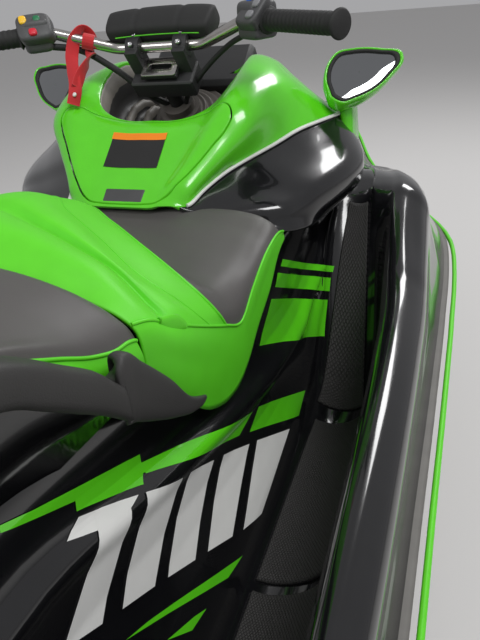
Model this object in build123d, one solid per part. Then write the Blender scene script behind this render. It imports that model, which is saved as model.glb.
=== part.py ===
from build123d import *
import math
import os

os.makedirs("parts", exist_ok=True)

# A three-seat personal watercraft, millimetres. X points to the bow, Y to port, Z up.
# The origin lies amidships on the centreline, at the height of the still water.

# Clearances
SEAT_GAP = 0.3        # between rigid pieces that rest on each other
PANEL_GAP = 5.0       # round a lid or another moving piece
PIN_GAP = 0.4         # round a hinge pin or a shaft

# Sections of the long mouldings: the hull, the deck and the rails share them
SECTIONS = [-1650, -1400, -1180, -1150, -950, -790, -640, -480, -320, -120, 70, 195, 270, 345,
            430, 520, 600, 680, 760, 850, 950, 1050, 1200, 1350, 1460, 1560, 1650]
STERN = SECTIONS[0]
STEM = SECTIONS[-1]
PEDESTAL_AFT = -1180  # upright rear end of the seat pedestal
FOOTWELL_FORE = 345   # top of the toe-boards, where the foredeck starts

# Lower hull: a V bottom with one strake a side, a hard chine and a topside up to the bond line.
# x, keel_z, chine_y, chine_z, bilge_y, bilge_z, bond_y, bond_z
HULL_TABLE = [
    (-1650, -296, 430, -108, 478, -88, 520, 168),
    (-1000, -306, 460, -114, 518, -92, 553, 182),
    (-300, -310, 470, -114, 530, -90, 564, 196),
    (300, -304, 446, -100, 508, -74, 564, 212),
    (560, -285, 392, -76, 446, -46, 542, 226),
    (800, -238, 290, -22, 328, 8, 410, 246),
    (1050, -150, 192, 60, 214, 88, 270, 268),
    (1350, 0, 104, 172, 118, 196, 167, 298),
    (1560, 150, 52, 244, 60, 262, 88, 318),
    (1650, 226, 22, 286, 28, 296, 48, 327),
]
STRAKE_AT = 0.5       # share of the way from keel to chine
STRAKE_WIDE = 26

# Outer top edge and inner lip of the gunwale, which becomes the foredeck's edge.
# x, rim_y, rim_z, lip_y, lip_z
RIM_TABLE = [
    (-1650, 476, 225, 440, 232),
    (-1000, 524, 290, 492, 300),
    (-300, 536, 328, 488, 340),
    (70, 529, 344, 472, 350),
    (200, 514, 376, 452, 392),
    (320, 500, 428, 438, 442),
    (430, 478, 438, 420, 446),
    (560, 424, 396, 372, 412),
    (720, 362, 357, 318, 370),
    (880, 290, 338, 256, 347),
    (1050, 222, 334, 196, 342),
    (1350, 142, 340, 126, 344),
    (1650, 40, 346, 34, 348),
]

# Cockpit floor: the stern platform, the footwells and the toe-boards.
# x, floor_y, floor_z
FLOOR_TABLE = [
    (-1650, 425, 128),
    (-1150, 440, 128),
    (-950, 450, 57),
    (-320, 455, 57),
    (70, 445, 57),
    (345, 380, 430),
]
LINER = 14            # thickness of the moulded floor
FLOOR = 57
PLATFORM = 128

# Seat pedestal, with a crease along its sides.
# x, foot_y, crease_y, crease_z, top_y, top_z
PEDESTAL_TABLE = [
    (-1180, 280, 248, 330, 205, 520),
    (-950, 305, 258, 385, 226, 541),
    (-700, 320, 270, 425, 245, 540),
    (-541, 322, 278, 372, 250, 505),
    (-332, 322, 288, 305, 256, 462),
    (-100, 319, 299, 250, 266, 444),
    (70, 317, 302, 240, 271, 442),
    (195, 318, 308, 300, 276, 442),
    (345, 323, 304, 436, 281, 443),
]
PEDESTAL_BLEND = 12   # chamfer where the pedestal meets the floor

# Rub rail and coloured bead
RAIL_PROUD = 23       # rubber rail outside the bond line
RAIL_BELOW = 26
RAIL_ABOVE = 12
RAIL_ROOT = 10        # how far the rail reaches in behind the bond line
BEAD_PROUD = 30.5     # coloured bead, the widest line of the boat
BEAD_HALF = 6
BOW_TIP = 1685

# Engine bay, jet tunnel and water intake
BAY_FORE = 240
BAY_AFT = -700
BAY_HALF = 205
BAY_FLOOR = -232
BAY_FLOOR_HALF = 110
BAY_KNEE = -178
BAY_ROOF = 425
BAY_MOUTH_FORE = -40
PUMP_AXIS_Z = -165
TUNNEL_FORE = -1050
TUNNEL_HALF = 128
TUNNEL_ROOF = -38
BUCKET_ROOF = 32
BUCKET_ROOF_FORE = -1330
INTAKE_FORE = -600
INTAKE_HALF = 92
PUMP_BORE = 79
SHAFT_RADIUS = 14
SHAFT_BORE = 20

# Bow storage bin, let into the hollow bow. x, half width, floor_z
BIN_TABLE = [(520, 200, 60), (760, 176, 72), (1050, 112, 160)]
BIN_FLARE = 12
BIN_WALL = 6
BIN_FLANGE = 7
BOW_ROOM_WALL = 50
BOW_ROOM_AFT = BIN_TABLE[0][0] - 2 * BOW_ROOM_WALL
BOW_ROOM_FORE = BIN_TABLE[-1][0] + 3 * BOW_ROOM_WALL


def curve(table, smooth=True):
    """Function that gives a table's row at any x, on a smooth curve or on straight lines."""
    def row_at(x):
        i = max([k for k in range(len(table) - 1) if table[k][0] <= x], default=0)
        near, far = table[i], table[i + 1]
        before, after = table[max(i - 1, 0)], table[min(i + 2, len(table) - 1)]
        span = far[0] - near[0]
        t = (x - near[0]) / span
        if not smooth:
            return [p + (q - p) * t for p, q in zip(near, far)]
        row = []
        for a, p, q, b in zip(before, near, far, after):
            m = (q - a) * span / (far[0] - before[0])
            n = (b - p) * span / (after[0] - near[0])
            row.append((2 * t**3 - 3 * t**2 + 1) * p + (t**3 - 2 * t**2 + t) * m
                       + (3 * t**2 - 2 * t**3) * q + (t**3 - t**2) * n)
        return row
    return row_at


def filled(table, steps=3):
    """A table's rows with more on a smooth curve inside each span."""
    row_at = curve(table)
    places = [p[0] + (q[0] - p[0]) * k / steps for p, q in zip(table, table[1:]) for k in range(steps)]
    return [row_at(x) for x in places] + [table[-1]]


def span(first, last):
    """The shared sections from one place to another."""
    return [x for x in SECTIONS if first <= x <= last]


def across(x, half):
    """Closed section at x, its port half given, mirrored to starboard."""
    port = [Vector(x, y, z) for y, z in half]
    starboard = [Vector(x, -y, z) for y, z in reversed(half) if y > 0]
    return port + starboard


def on_side(x, outline, side):
    """Closed section at x, all on one side of the boat."""
    return [Vector(x, side * y, z) for y, z in outline]


def flat(corners):
    """One flat face."""
    return Face(Wire.make_polygon(corners, close=True))


def panel(a, b, c, d):
    """Faces of a panel with four corners: one where it is flat, else two across its shorter diagonal."""
    corners = []
    for p in (a, b, c, d):
        if all((p - q).length > 0.001 for q in corners):
            corners.append(p)
    if len(corners) < 3:
        return []
    if len(corners) == 3 or abs((b - a).cross(c - a).dot(d - a)) < 0.01:
        return [flat(corners)]
    if (c - a).length <= (d - b).length:
        return [flat([a, b, c]), flat([a, c, d])]
    return [flat([a, b, d]), flat([b, c, d])]


def skin(rings):
    """Solid through a row of sections that have as many corners each, all in flat faces."""
    faces = [flat(rings[0]), flat(rings[-1])]
    for near, far in zip(rings, rings[1:]):
        for i, corner in enumerate(near):
            after = (i + 1) % len(near)
            faces += panel(corner, near[after], far[after], far[i])
    return Solid(Shell(faces))


def block(x0, x1, y0, y1, z0, z1):
    """Plain box between two corners."""
    box = Solid.make_box(x1 - x0, y1 - y0, z1 - z0)
    return box.moved(Location((x0, y0, z0)))


def bore(a, b, radius):
    """True round hole or barrel from a to b."""
    a, b = Vector(*a), Vector(*b)
    return Solid.make_cylinder(radius, (b - a).length, Plane(origin=a, z_dir=b - a))


def rod(a, b, radius, sides=16):
    """Bar from a to b with a many-sided round section, its corners on the radius."""
    a, b = Vector(*a), Vector(*b)
    plane = Plane(origin=a, z_dir=b - a)
    return Solid.extrude(flat(ring_on(plane, radius, sides)), b - a)


def ring_on(plane, radius, sides):
    """Corners of a regular section about a plane's origin."""
    turns = [2 * math.pi * k / sides for k in range(sides)]
    return [plane.from_local_coords(Vector(radius * math.cos(t), radius * math.sin(t), 0)) for t in turns]


def side_plate(points, y0, y1):
    """Outline in the XZ plane, as thick as from y0 to y1."""
    return Solid.extrude(flat([Vector(x, y0, z) for x, z in points]), Vector(0, y1 - y0, 0))


def tube(points, bend, radius, sides=16):
    """Bar along straight runs, its corners bent on arcs in three steps."""
    points = [Vector(*p) for p in points]
    stations = [(points[0], (points[1] - points[0]).normalized())]
    for before, at, after in zip(points, points[1:], points[2:]):
        come, go = (at - before).normalized(), (after - at).normalized()
        turn = math.acos(max(-1, min(1, come.dot(go))))
        middle = at + (go - come).normalized() * (bend / math.cos(turn / 2))
        enter = at - come * (bend * math.tan(turn / 2))
        out = (enter - middle).normalized()
        for step in range(4):
            t = turn * step / 3
            spot = middle + out * (bend * math.cos(t)) + come * (bend * math.sin(t))
            stations.append((spot, come * math.cos(t) - out * math.sin(t)))
    stations.append((points[-1], (points[-1] - points[-2]).normalized()))
    side = Vector(0, 0, 1)
    rings = []
    for spot, ahead in stations:
        side = (side - ahead * side.dot(ahead)).normalized()
        rings.append(ring_on(Plane(origin=spot, x_dir=side, z_dir=ahead), radius, sides))
    return skin(rings)


def plan_plate(points, z0, z1):
    """Outline in the XY plane, as thick as from z0 to z1."""
    return Solid.extrude(flat([Vector(x, y, z0) for x, y in points]), Vector(0, 0, z1 - z0))


def turned_box(origin, x_dir, z_dir, size, edge=0.0):
    """Box centred at origin, its own X and Z along the two directions, its edges chamfered."""
    box = Solid.make_box(*size).moved(Location((-size[0] / 2, -size[1] / 2, -size[2] / 2)))
    if edge:
        box = chamfer(box.edges(), edge)
    return Plane(origin=origin, x_dir=x_dir, z_dir=z_dir).from_local_coords(box)


def mirrored(shape):
    """The same piece on the other side of the boat."""
    return shape.mirror(Plane.XZ)


def raised(shape, height):
    """The same piece moved up."""
    return shape.moved(Location((0, 0, height)))


def one(shape):
    """The largest solid of a result."""
    return max(shape.solids(), key=lambda s: s.volume)


def save(name, *shapes):
    """Write one node of one or more solids."""
    solids = [solid for shape in shapes for solid in shape.solids()]
    whole = solids[0] if len(solids) == 1 else Compound(children=solids)
    whole.label = name
    export_step(whole, f"parts/{name}.step")


hull_at = curve(HULL_TABLE)
rim_at = curve(RIM_TABLE)
floor_at = curve(FLOOR_TABLE, smooth=False)
pedestal_at = curve(PEDESTAL_TABLE)


def underside(x):
    """Bottom of the deck moulding at x: under the floor, or the bond line where that is lower."""
    return min(floor_at(x)[2] - LINER, hull_at(x)[7])


def wall_y(x):
    """Outer face of the footwell moulding where it crosses the bond line."""
    return (floor_at(x)[1] + rim_at(x)[3]) / 2 + LINER


def hull_section(x):
    """Keel, strake with its flat ledge, chine, bilge and bond line."""
    _, keel_z, chine_y, chine_z, bilge_y, bilge_z, bond_y, bond_z = hull_at(x)
    strake_y = chine_y * STRAKE_AT
    strake_z = keel_z + (chine_z - keel_z) * STRAKE_AT
    ledge = min(STRAKE_WIDE, chine_y / 8)
    step = (chine_z - keel_z) / chine_y * ledge
    return across(x, [(0, keel_z), (strake_y, strake_z), (strake_y + ledge, strake_z),
                      (strake_y + ledge, strake_z + step), (chine_y, chine_z), (bilge_y, bilge_z),
                      (bond_y, bond_z)])


def well_section(x, at=None):
    """Room in the hull for the floor moulding, as it is at x."""
    _, floor_y, floor_z = floor_at(x)
    top = hull_at(x)[7]
    return across(x if at is None else at, [(floor_y + LINER, underside(x)), (wall_y(x), top), (wall_y(x), top + 60)])


def gunwale_section(x, side):
    """Footwell wall, lip, rim and outer face of one gunwale."""
    _, floor_y, floor_z = floor_at(x)
    _, rim_y, rim_z, lip_y, lip_z = rim_at(x)
    bond_y, bond_z = hull_at(x)[6:]
    return on_side(x, [(floor_y, underside(x)), (floor_y, floor_z), (lip_y, lip_z), (rim_y, rim_z),
                       (bond_y, bond_z), (wall_y(x), bond_z), (floor_y + LINER, underside(x))], side)


def platform_section(x):
    """Floor without the pedestal."""
    _, floor_y, floor_z = floor_at(x)
    return across(x, [(floor_y - SEAT_GAP, underside(x)), (floor_y - SEAT_GAP, floor_z)])


def pedestal_section(x):
    """Floor with the pedestal on it."""
    _, floor_y, floor_z = floor_at(x)
    _, foot_y, crease_y, crease_z, top_y, top_z = pedestal_at(x)
    blend = min(PEDESTAL_BLEND, (top_z - floor_z) / 4)
    return across(x, [(floor_y - SEAT_GAP, underside(x)), (floor_y - SEAT_GAP, floor_z),
                      (foot_y + blend, floor_z), (foot_y, floor_z + blend), (crease_y, crease_z), (top_y, top_z)])


def foredeck_section(x):
    """Foredeck from bond line to bond line."""
    _, rim_y, rim_z, lip_y, lip_z = rim_at(x)
    bond_y, bond_z = hull_at(x)[6:]
    return across(x, [(bond_y, bond_z), (rim_y, rim_z), (lip_y, lip_z)])


# Lower hull
hull_block = skin([hull_section(x) for x in SECTIONS])
WELL_END = 195        # where the toe-board has risen past the bond line
well = skin([well_section(STERN, STERN - 50)] + [well_section(x) for x in span(STERN, WELL_END)])
bay_outline = [(BAY_FLOOR_HALF, BAY_FLOOR), (BAY_HALF, BAY_KNEE), (BAY_HALF, BAY_ROOF)]
bay = skin([across(BAY_AFT, bay_outline), across(BAY_FORE, bay_outline)])
bay_mouth = block(BAY_AFT, BAY_MOUTH_FORE, -BAY_HALF, BAY_HALF, BAY_ROOF - 1, 700)
intake_duct = side_plate(
    [(INTAKE_FORE, -330), (INTAKE_FORE, -262), (TUNNEL_FORE + 60, -95), (TUNNEL_FORE + 60, -330)],
    -INTAKE_HALF, INTAKE_HALF)
intake_throat = rod((TUNNEL_FORE - 5, 0, PUMP_AXIS_Z), (TUNNEL_FORE + 150, 0, PUMP_AXIS_Z), PUMP_BORE, 24)
tunnel = block(STERN - 20, TUNNEL_FORE, -TUNNEL_HALF, TUNNEL_HALF, -340, TUNNEL_ROOF)
bucket_room = block(STERN - 20, BUCKET_ROOF_FORE, -TUNNEL_HALF, TUNNEL_HALF, -340, BUCKET_ROOF)
shaft_bore = rod((TUNNEL_FORE, 0, PUMP_AXIS_Z), (BAY_AFT + 5, 0, PUMP_AXIS_Z), SHAFT_BORE)


def bow_room_section(x):
    """Hollow inside the bow of the lower hull."""
    _, keel_z, chine_y, chine_z, bilge_y, bilge_z, bond_y, bond_z = hull_at(x)
    return across(x, [(chine_y - BOW_ROOM_WALL, chine_z + 15), (bond_y - BOW_ROOM_WALL, bond_z + 1)])


bow_room = skin([bow_room_section(x) for x in span(BOW_ROOM_AFT, BOW_ROOM_FORE)])
hull = hull_block - well
for hollow in (bay, intake_duct, intake_throat, tunnel, bucket_room, shaft_bore, bow_room):
    hull = hull - hollow
save("hull", one(hull))

# Deck: the floor with the seat pedestal, and the foredeck as a moulded shell
COWL_BASE = 440
COWL_AFT = -60
COWL_FORE = 500
platform = skin([platform_section(x) for x in span(STERN, PEDESTAL_AFT)])
pedestal = skin([pedestal_section(x) for x in span(PEDESTAL_AFT, FOOTWELL_FORE)])
foredeck = skin([foredeck_section(x) for x in span(FOOTWELL_FORE, STEM)])
cowl_seat = block(COWL_AFT, COWL_FORE, -300, 300, COWL_BASE, 700)
deck_mass = platform + pedestal + foredeck - cowl_seat


def foredeck_room_section(x):
    """Hollow under the foredeck."""
    _, rim_y, rim_z, lip_y, lip_z = rim_at(x)
    bond_y, bond_z = hull_at(x)[6:]
    return across(x, [(bond_y - BOW_ROOM_WALL, bond_z - 1), (rim_y - 24, rim_z - LINER - 6),
                      (lip_y - 24, lip_z - LINER)])


bin_at = curve(BIN_TABLE)
BIN_AFT = BIN_TABLE[0][0]
BIN_FORE = BIN_TABLE[-1][0]


def bin_section(x, grow, low, high, at=None):
    """Bin's section at x, grown by a wall or gap, from low over its floor to high over the deck."""
    _, half, floor_z = bin_at(x)
    return across(x if at is None else at, [(half - BIN_FLARE + grow, floor_z + low),
                                            (half + grow, rim_at(x)[4] + high)])


def bin_solid(grow, low, high, ends):
    """Block of the bin's form, its ends moved out by ends."""
    rings = [bin_section(BIN_AFT, grow, low, high, BIN_AFT - ends)]
    rings += [bin_section(x, grow, low, high) for x in span(BIN_AFT + 1, BIN_FORE - 1)]
    return skin(rings + [bin_section(BIN_FORE, grow, low, high, BIN_FORE + ends)])


foredeck_room = skin([foredeck_room_section(x) for x in span(BOW_ROOM_AFT, BOW_ROOM_FORE)])
bin_mouth = bin_solid(BIN_WALL + SEAT_GAP, 0, 60, BIN_WALL + SEAT_GAP)
deck = deck_mass - bay - bay_mouth - foredeck_room - bin_mouth
deck = one(deck)
save("deck", deck)

# Gunwales: the raised sides of the cockpit
gunwales = {
    side: skin([gunwale_section(x, side) for x in span(STERN, FOOTWELL_FORE)]) for side in (1, -1)
}
for side, name in ((1, "port"), (-1, "starboard")):
    save(f"gunwale_{name}", gunwales[side])

# Storage bin, hung by its flange in the foredeck
flange_rows = [(x, bin_at(x)[1] + BIN_WALL + BIN_FLANGE, rim_at(x)[4])
               for x in [BIN_AFT - 24] + span(BIN_AFT, BIN_FORE) + [BIN_FORE + 24]]
flange = skin([across(x, [(y, z - 3), (y, z + 6)]) for x, y, z in flange_rows])
bow_bin = bin_solid(BIN_WALL, -BIN_WALL, 6, BIN_WALL) + flange
bow_bin = bow_bin - bin_solid(0, 0, 60, 0) - raised(deck, SEAT_GAP) - deck
save("bow_bin", one(bow_bin))

# Rub rail and coloured bead round the bond line


def belt(proud, below, above):
    """Band that stands proud of the bond line, closed round the bow."""
    band = None
    for side in (1, -1):
        rings = []
        for x in span(STERN, SECTIONS[-2]):
            bond_y, bond_z = hull_at(x)[6:]
            inner, outer = bond_y - RAIL_ROOT, bond_y + proud
            rings.append(on_side(x, [(inner, bond_z - below), (outer, bond_z - below),
                                     (outer, bond_z + above), (inner, bond_z + above)], side))
        band = skin(rings) if band is None else band + skin(rings)
    rings = []
    for x in SECTIONS[-2:]:
        bond_y, bond_z = hull_at(x)[6:]
        rings.append(across(x, [(bond_y + proud, bond_z - below), (bond_y + proud, bond_z + above)]))
    bond_y, bond_z = hull_at(STEM)[6:]
    tip = BOW_TIP - BEAD_PROUD + proud
    rings.append(across(tip, [(bond_y / 2, bond_z - below), (bond_y / 2, bond_z + above)]))
    return band + skin(rings)


rail_belt = belt(RAIL_PROUD, RAIL_BELOW, RAIL_ABOVE)
bead_belt = belt(BEAD_PROUD, BEAD_HALF, BEAD_HALF)
rub_rail = rail_belt - hull_block - foredeck - gunwales[1] - gunwales[-1]
rail_bead = bead_belt - rail_belt - hull_block - foredeck - gunwales[1] - gunwales[-1]
save("rub_rail", one(rub_rail))
save("rail_bead", one(rail_bead))

# Cowl: the green console and the black side fairings share one skin.
# x, crown_z, label_y, crest_y, crest_z, shoulder_y, shoulder_z, stripe_y, stripe_z,
# inner_y, bulge_y, bulge_z, base_y
COWL_TABLE = [
    (-50, 527, 60, 75, 528, 100, 526, 114, 521, 60, 120, 519, 118),
    (20, 579, 62, 120, 600, 150, 584, 137, 534, 90, 285, 504, 262),
    (100, 640, 64, 180, 676, 215, 656, 205, 575, 150, 335, 514, 285),
    (211, 668, 66, 165, 708, 222, 690, 271, 600, 180, 382, 514, 300),
    (320, 690, 68, 150, 728, 230, 682, 326, 602, 200, 374, 520, 320),
    (450, 640, 70, 130, 668, 200, 610, 268, 560, 190, 292, 500, 284),
]
COWL_DEPTH = 400
cowl_rows = filled(COWL_TABLE, 2)
console_mass = skin([
    across(x, [(inner_y, COWL_DEPTH), (stripe_y, stripe_z), (shoulder_y, shoulder_z), (crest_y, crest_z),
               (label_y, crown_z)])
    for x, crown_z, label_y, crest_y, crest_z, shoulder_y, shoulder_z, stripe_y, stripe_z, inner_y,
    bulge_y, bulge_z, base_y in cowl_rows
])
over_seat = block(-80, 2, -400, 400, 300, 517)
console_shell = console_mass - deck_mass - over_seat

# Storage lid in the rear face of the console, its outline in plan
LID_OUTLINE = [(-44, -70), (60, -172), (98, -176), (128, -118), (116, -74), (116, 74),
               (128, 118), (98, 176), (60, 172), (-44, 70)]
LID_THICK = 9
LID_HINGE_X = 134
LID_HINGE_Z = 666
LID_BARREL = 6.5
LID_PIN = 3
LID_ARMS = ((146, 158), (-158, -146))


def grown(points, d):
    """Outline moved outwards from its middle by about d on each side."""
    middle = sum(x for x, y in points) / len(points)
    return [(x + math.copysign(d, x - middle), y + math.copysign(d, y)) for x, y in points]


lid_mass = console_shell & plan_plate(LID_OUTLINE, 300, 800)
lid = one(lid_mass - raised(console_mass, -LID_THICK))
lid_opening = plan_plate(grown(LID_OUTLINE, PANEL_GAP), 300, 800)
console = console_shell - (lid_opening - raised(console_mass, -LID_THICK - PANEL_GAP))
BOX_HALF = 62
glove_box = block(8, 96, -BOX_HALF, BOX_HALF, 452, 700)
WELL_AFT = 118
WELL_FORE = 352
WELL_FLOOR = 560
well = plan_plate([(WELL_AFT, -78), (WELL_AFT + 18, -118), (WELL_FORE, -118), (WELL_FORE, 118),
                   (WELL_AFT + 18, 118), (WELL_AFT, 78)], WELL_FLOOR, 900)
console = console - glove_box - well
for y0, y1 in LID_ARMS:
    reach = LID_BARREL + 6
    console = console - block(100, LID_HINGE_X + reach, y0 - PANEL_GAP, y1 + PANEL_GAP, LID_HINGE_Z - reach, 760)
    console = console + rod((LID_HINGE_X, y0 - 9, LID_HINGE_Z), (LID_HINGE_X, y1 + 9, LID_HINGE_Z), LID_PIN)
    lid = lid + block(100, LID_HINGE_X, y0, y1, LID_HINGE_Z - 6, LID_HINGE_Z + 3)
    lid = lid + rod((LID_HINGE_X, y0, LID_HINGE_Z), (LID_HINGE_X, y1, LID_HINGE_Z), LID_BARREL)
    lid = lid - bore((LID_HINGE_X, y0 - 1, LID_HINGE_Z), (LID_HINGE_X, y1 + 1, LID_HINGE_Z), LID_PIN + PIN_GAP)
console = one(console)
save("console", console)
save("storage_lid", one(lid))

fairing_mass = skin([
    on_side(x, [(inner_y, COWL_DEPTH), (base_y, COWL_DEPTH), (bulge_y, bulge_z), (stripe_y, stripe_z)], 1)
    for x, crown_z, label_y, crest_y, crest_z, shoulder_y, shoulder_z, stripe_y, stripe_z, inner_y,
    bulge_y, bulge_z, base_y in cowl_rows
])
fairing = one(fairing_mass - deck_mass - over_seat - console_mass)
save("fairing_port", fairing)
save("fairing_starboard", mirrored(fairing))

# Hood over the bow storage bin, hinged at its front end.
# x, side_y, side_z, shoulder_y, shoulder_z, crown_y, crown_z
HOOD_TABLE = [
    (456, 264, 400, 196, 596, 100, 634),
    (700, 250, 340, 170, 520, 90, 560),
    (1000, 178, 320, 125, 440, 64, 474),
    (1300, 98, 315, 66, 385, 34, 404),
    (1560, 44, 315, 30, 366, 14, 376),
    (1640, 20, 315, 14, 352, 6, 354),
]
HOOD_WALL = 10
HOOD_HINGE_X = 1540
HOOD_HINGE_Z = 362
HOOD_PIN = 4
HOOD_LUG_HALF = 10
HOOD_EAR_HALF = 22
hood_rows = filled(HOOD_TABLE, 2)
hood_mass = skin([
    across(x, [(side_y, side_z), (shoulder_y, shoulder_z), (crown_y, crown_z)])
    for x, side_y, side_z, shoulder_y, shoulder_z, crown_y, crown_z in hood_rows
])
hood_inside = skin([
    across(x, [(side_y - HOOD_WALL, side_z - 40), (shoulder_y - HOOD_WALL, shoulder_z - HOOD_WALL),
               (crown_y, crown_z - HOOD_WALL)])
    for x, side_y, side_z, shoulder_y, shoulder_z, crown_y, crown_z in hood_rows[:-3]
]) & block(456 + HOOD_WALL, 1480, -400, 400, 200, 900)
hood = hood_mass - hood_inside - raised(foredeck, PANEL_GAP)
hinge_room = block(HOOD_HINGE_X - 16, BOW_TIP + 15, -60, 60, HOOD_HINGE_Z - 62, HOOD_HINGE_Z + 58)
hinge_pin = rod((HOOD_HINGE_X, -HOOD_EAR_HALF, HOOD_HINGE_Z), (HOOD_HINGE_X, HOOD_EAR_HALF, HOOD_HINGE_Z), HOOD_PIN)
hinge = hinge_pin
for side in (1, -1):
    y0, y1 = sorted((side * (HOOD_LUG_HALF + SEAT_GAP), side * HOOD_EAR_HALF))
    hinge = hinge + block(HOOD_HINGE_X - 7, HOOD_HINGE_X + 7, y0, y1, 300, HOOD_HINGE_Z + 6)
save("hood_hinge", one(hinge - foredeck - hull_block))
hood_lug = rod((HOOD_HINGE_X, -HOOD_LUG_HALF, HOOD_HINGE_Z), (HOOD_HINGE_X, HOOD_LUG_HALF, HOOD_HINGE_Z), 8)
hood_lug = hood_lug + block(1470, HOOD_HINGE_X, -HOOD_LUG_HALF, HOOD_LUG_HALF, HOOD_HINGE_Z, HOOD_HINGE_Z + 7)
pin_bore = bore((HOOD_HINGE_X, -30, HOOD_HINGE_Z), (HOOD_HINGE_X, 30, HOOD_HINGE_Z), HOOD_PIN + PIN_GAP)
save("hood", one(one(hood - hinge_room) + hood_lug - pin_bore))

# Front seat: a low cushion, and the bolster that rises behind the rider.
# x, skirt_z, edge_y, edge_z, crown_y, crown_z
SPLIT_X = -478
SPLIT_GAP = 3
CUSHION_TABLE = [
    (-560, 560, 270, 572, 130, 580),
    (-400, 388, 290, 470, 130, 500),
    (-300, 338, 292, 480, 130, 500),
    (-120, 392, 292, 494, 130, 506),
    (1.5, 468, 284, 498, 120, 513),
]
SKIRT_Y = 294
SKIRT_THICK = 24
cushion = skin([
    across(x, [(SKIRT_Y - SKIRT_THICK - 2, skirt_z), (SKIRT_Y - 2, skirt_z + 4), (edge_y, edge_z),
               (crown_y, crown_z)])
    for x, skirt_z, edge_y, edge_z, crown_y, crown_z in filled(CUSHION_TABLE, 2)
])
# x, half width, edge_z, crown_y, crown_z
BOLSTER_TABLE = [
    (SPLIT_X, 272, 560, 180, 622),
    (-400, 288, 540, 170, 634),
    (-300, 292, 505, 160, 634),
    (-200, 292, 480, 150, 602),
    (-150, 292, 470, 150, 560),
]
BOLSTER_LOW = 440
bolster_mass = skin([
    across(x, [(half, BOLSTER_LOW), (half, edge_z), (crown_y, crown_z)])
    for x, half, edge_z, crown_y, crown_z in filled(BOLSTER_TABLE, 2)
])
BOLSTER_NOSE = -160
BOLSTER_EAR_X = -322
BOLSTER_HALF = 293
with BuildSketch(Plane.XY.offset(BOLSTER_LOW)) as bolster_plan:
    with BuildLine():
        ThreePointArc((BOLSTER_EAR_X, -BOLSTER_HALF), (BOLSTER_NOSE, 0), (BOLSTER_EAR_X, BOLSTER_HALF))
        Polyline((BOLSTER_EAR_X, BOLSTER_HALF), (-700, BOLSTER_HALF), (-700, -BOLSTER_HALF),
                 (BOLSTER_EAR_X, -BOLSTER_HALF))
    make_face()
bolster = bolster_mass & Solid.extrude(bolster_plan.sketch.faces()[0], Vector(0, 0, 300))
behind_split = block(-1400, SPLIT_X, -400, 400, 300, 900)
front_seat = one(cushion + bolster - behind_split - deck_mass)
save("front_seat", front_seat)

# Rear seat for two passengers.
# x, skirt_z, edge_y, edge_z, crown_y, crown_z
REAR_TABLE = [
    (-1150, 500, 190, 560, 120, 580),
    (-1090, 500, 216, 590, 150, 632),
    (-900, 520, 240, 612, 175, 656),
    (-640, 520, 256, 606, 190, 652),
    (SPLIT_X - SPLIT_GAP, 470, 262, 562, 180, 620),
]
rear_seat = skin([
    across(x, [(edge_y + 6, skirt_z), (edge_y, edge_z), (crown_y, crown_z)])
    for x, skirt_z, edge_y, edge_z, crown_y, crown_z in filled(REAR_TABLE, 2)
])
rear_seat = one(rear_seat - deck_mass)
save("rear_seat", rear_seat)

# Grab rail: a U round the rear seat that climbs aft
RAIL_WIDE = 44
RAIL_OUT = 304
RAIL_AFT = -1225
RAIL_AFT_HALF = 244
RAIL_KNEE = -700
rail_side = side_plate([(-392, 396), (-520, 476), (RAIL_KNEE, 600), (-1300, 606), (-1300, 664), (-690, 658),
                        (-560, 574), (-402, 430)], -400, 400)


def rail_plan(inset):
    """Plan of the rail, its outer line moved in by inset."""
    points = [(-360, RAIL_OUT - inset), (RAIL_KNEE, RAIL_OUT - inset), (RAIL_AFT + inset, RAIL_AFT_HALF - inset)]
    points += [(x, -y) for x, y in reversed(points)]
    radii = [0.0, 220.0, 110.0 - inset / 2]
    with BuildSketch(Plane.XY.offset(300)) as plan:
        with BuildLine():
            FilletPolyline(*points, radius=radii + radii[::-1], close=True)
        make_face()
    return Solid.extrude(plan.sketch.faces()[0], Vector(0, 0, 500))


rail_ring = rail_plan(0) - rail_plan(RAIL_WIDE)
grab_rail = (rail_side & rail_ring) - block(-392, 0, -500, 500, 0, 900)
grab_rail = grab_rail + block(-1222, -1140, -60, 60, 500, 610)
save("grab_rail", one(grab_rail - deck_mass - front_seat - rear_seat))

# Steering head and handlebar, in axes at the steering pivot
STEER_RAKE = 36
rake = math.radians(STEER_RAKE)
PIVOT = Vector(215, 0, 690)
AXIS = Vector(-math.sin(rake), 0, math.cos(rake))
FORE = Vector(math.cos(rake), 0, math.sin(rake))
PORT = Vector(0, 1, 0)


def steer(fore, port, up):
    """Point given in the steering head's own axes."""
    return PIVOT + FORE * fore + PORT * port + AXIS * up


def sided(point, side):
    """Port point as it is, or the same on starboard."""
    return Vector(point.X, side * point.Y, point.Z)


BAR_RADIUS = 11
BAR_BEND = 60
CLAMP_Y = 51
bar_middle = Vector(197, 92, 766)
grip_inner = Vector(121, 240, 805)
grip_outer = Vector(12, 392, 801)
grip_dir = (grip_outer - grip_inner).normalized()
bar_knee = grip_inner - grip_dir * 45
bar_half = [bar_middle, bar_knee, grip_outer]
bar_route = [sided(p, -1) for p in reversed(bar_half)] + bar_half
handlebar = tube(bar_route, BAR_BEND, BAR_RADIUS)
bar_outside = tube(bar_route, BAR_BEND, BAR_RADIUS + SEAT_GAP)
save("handlebar", one(handlebar))
bar_bore = rod(sided(bar_middle, -1), bar_middle, BAR_RADIUS + SEAT_GAP)

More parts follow.
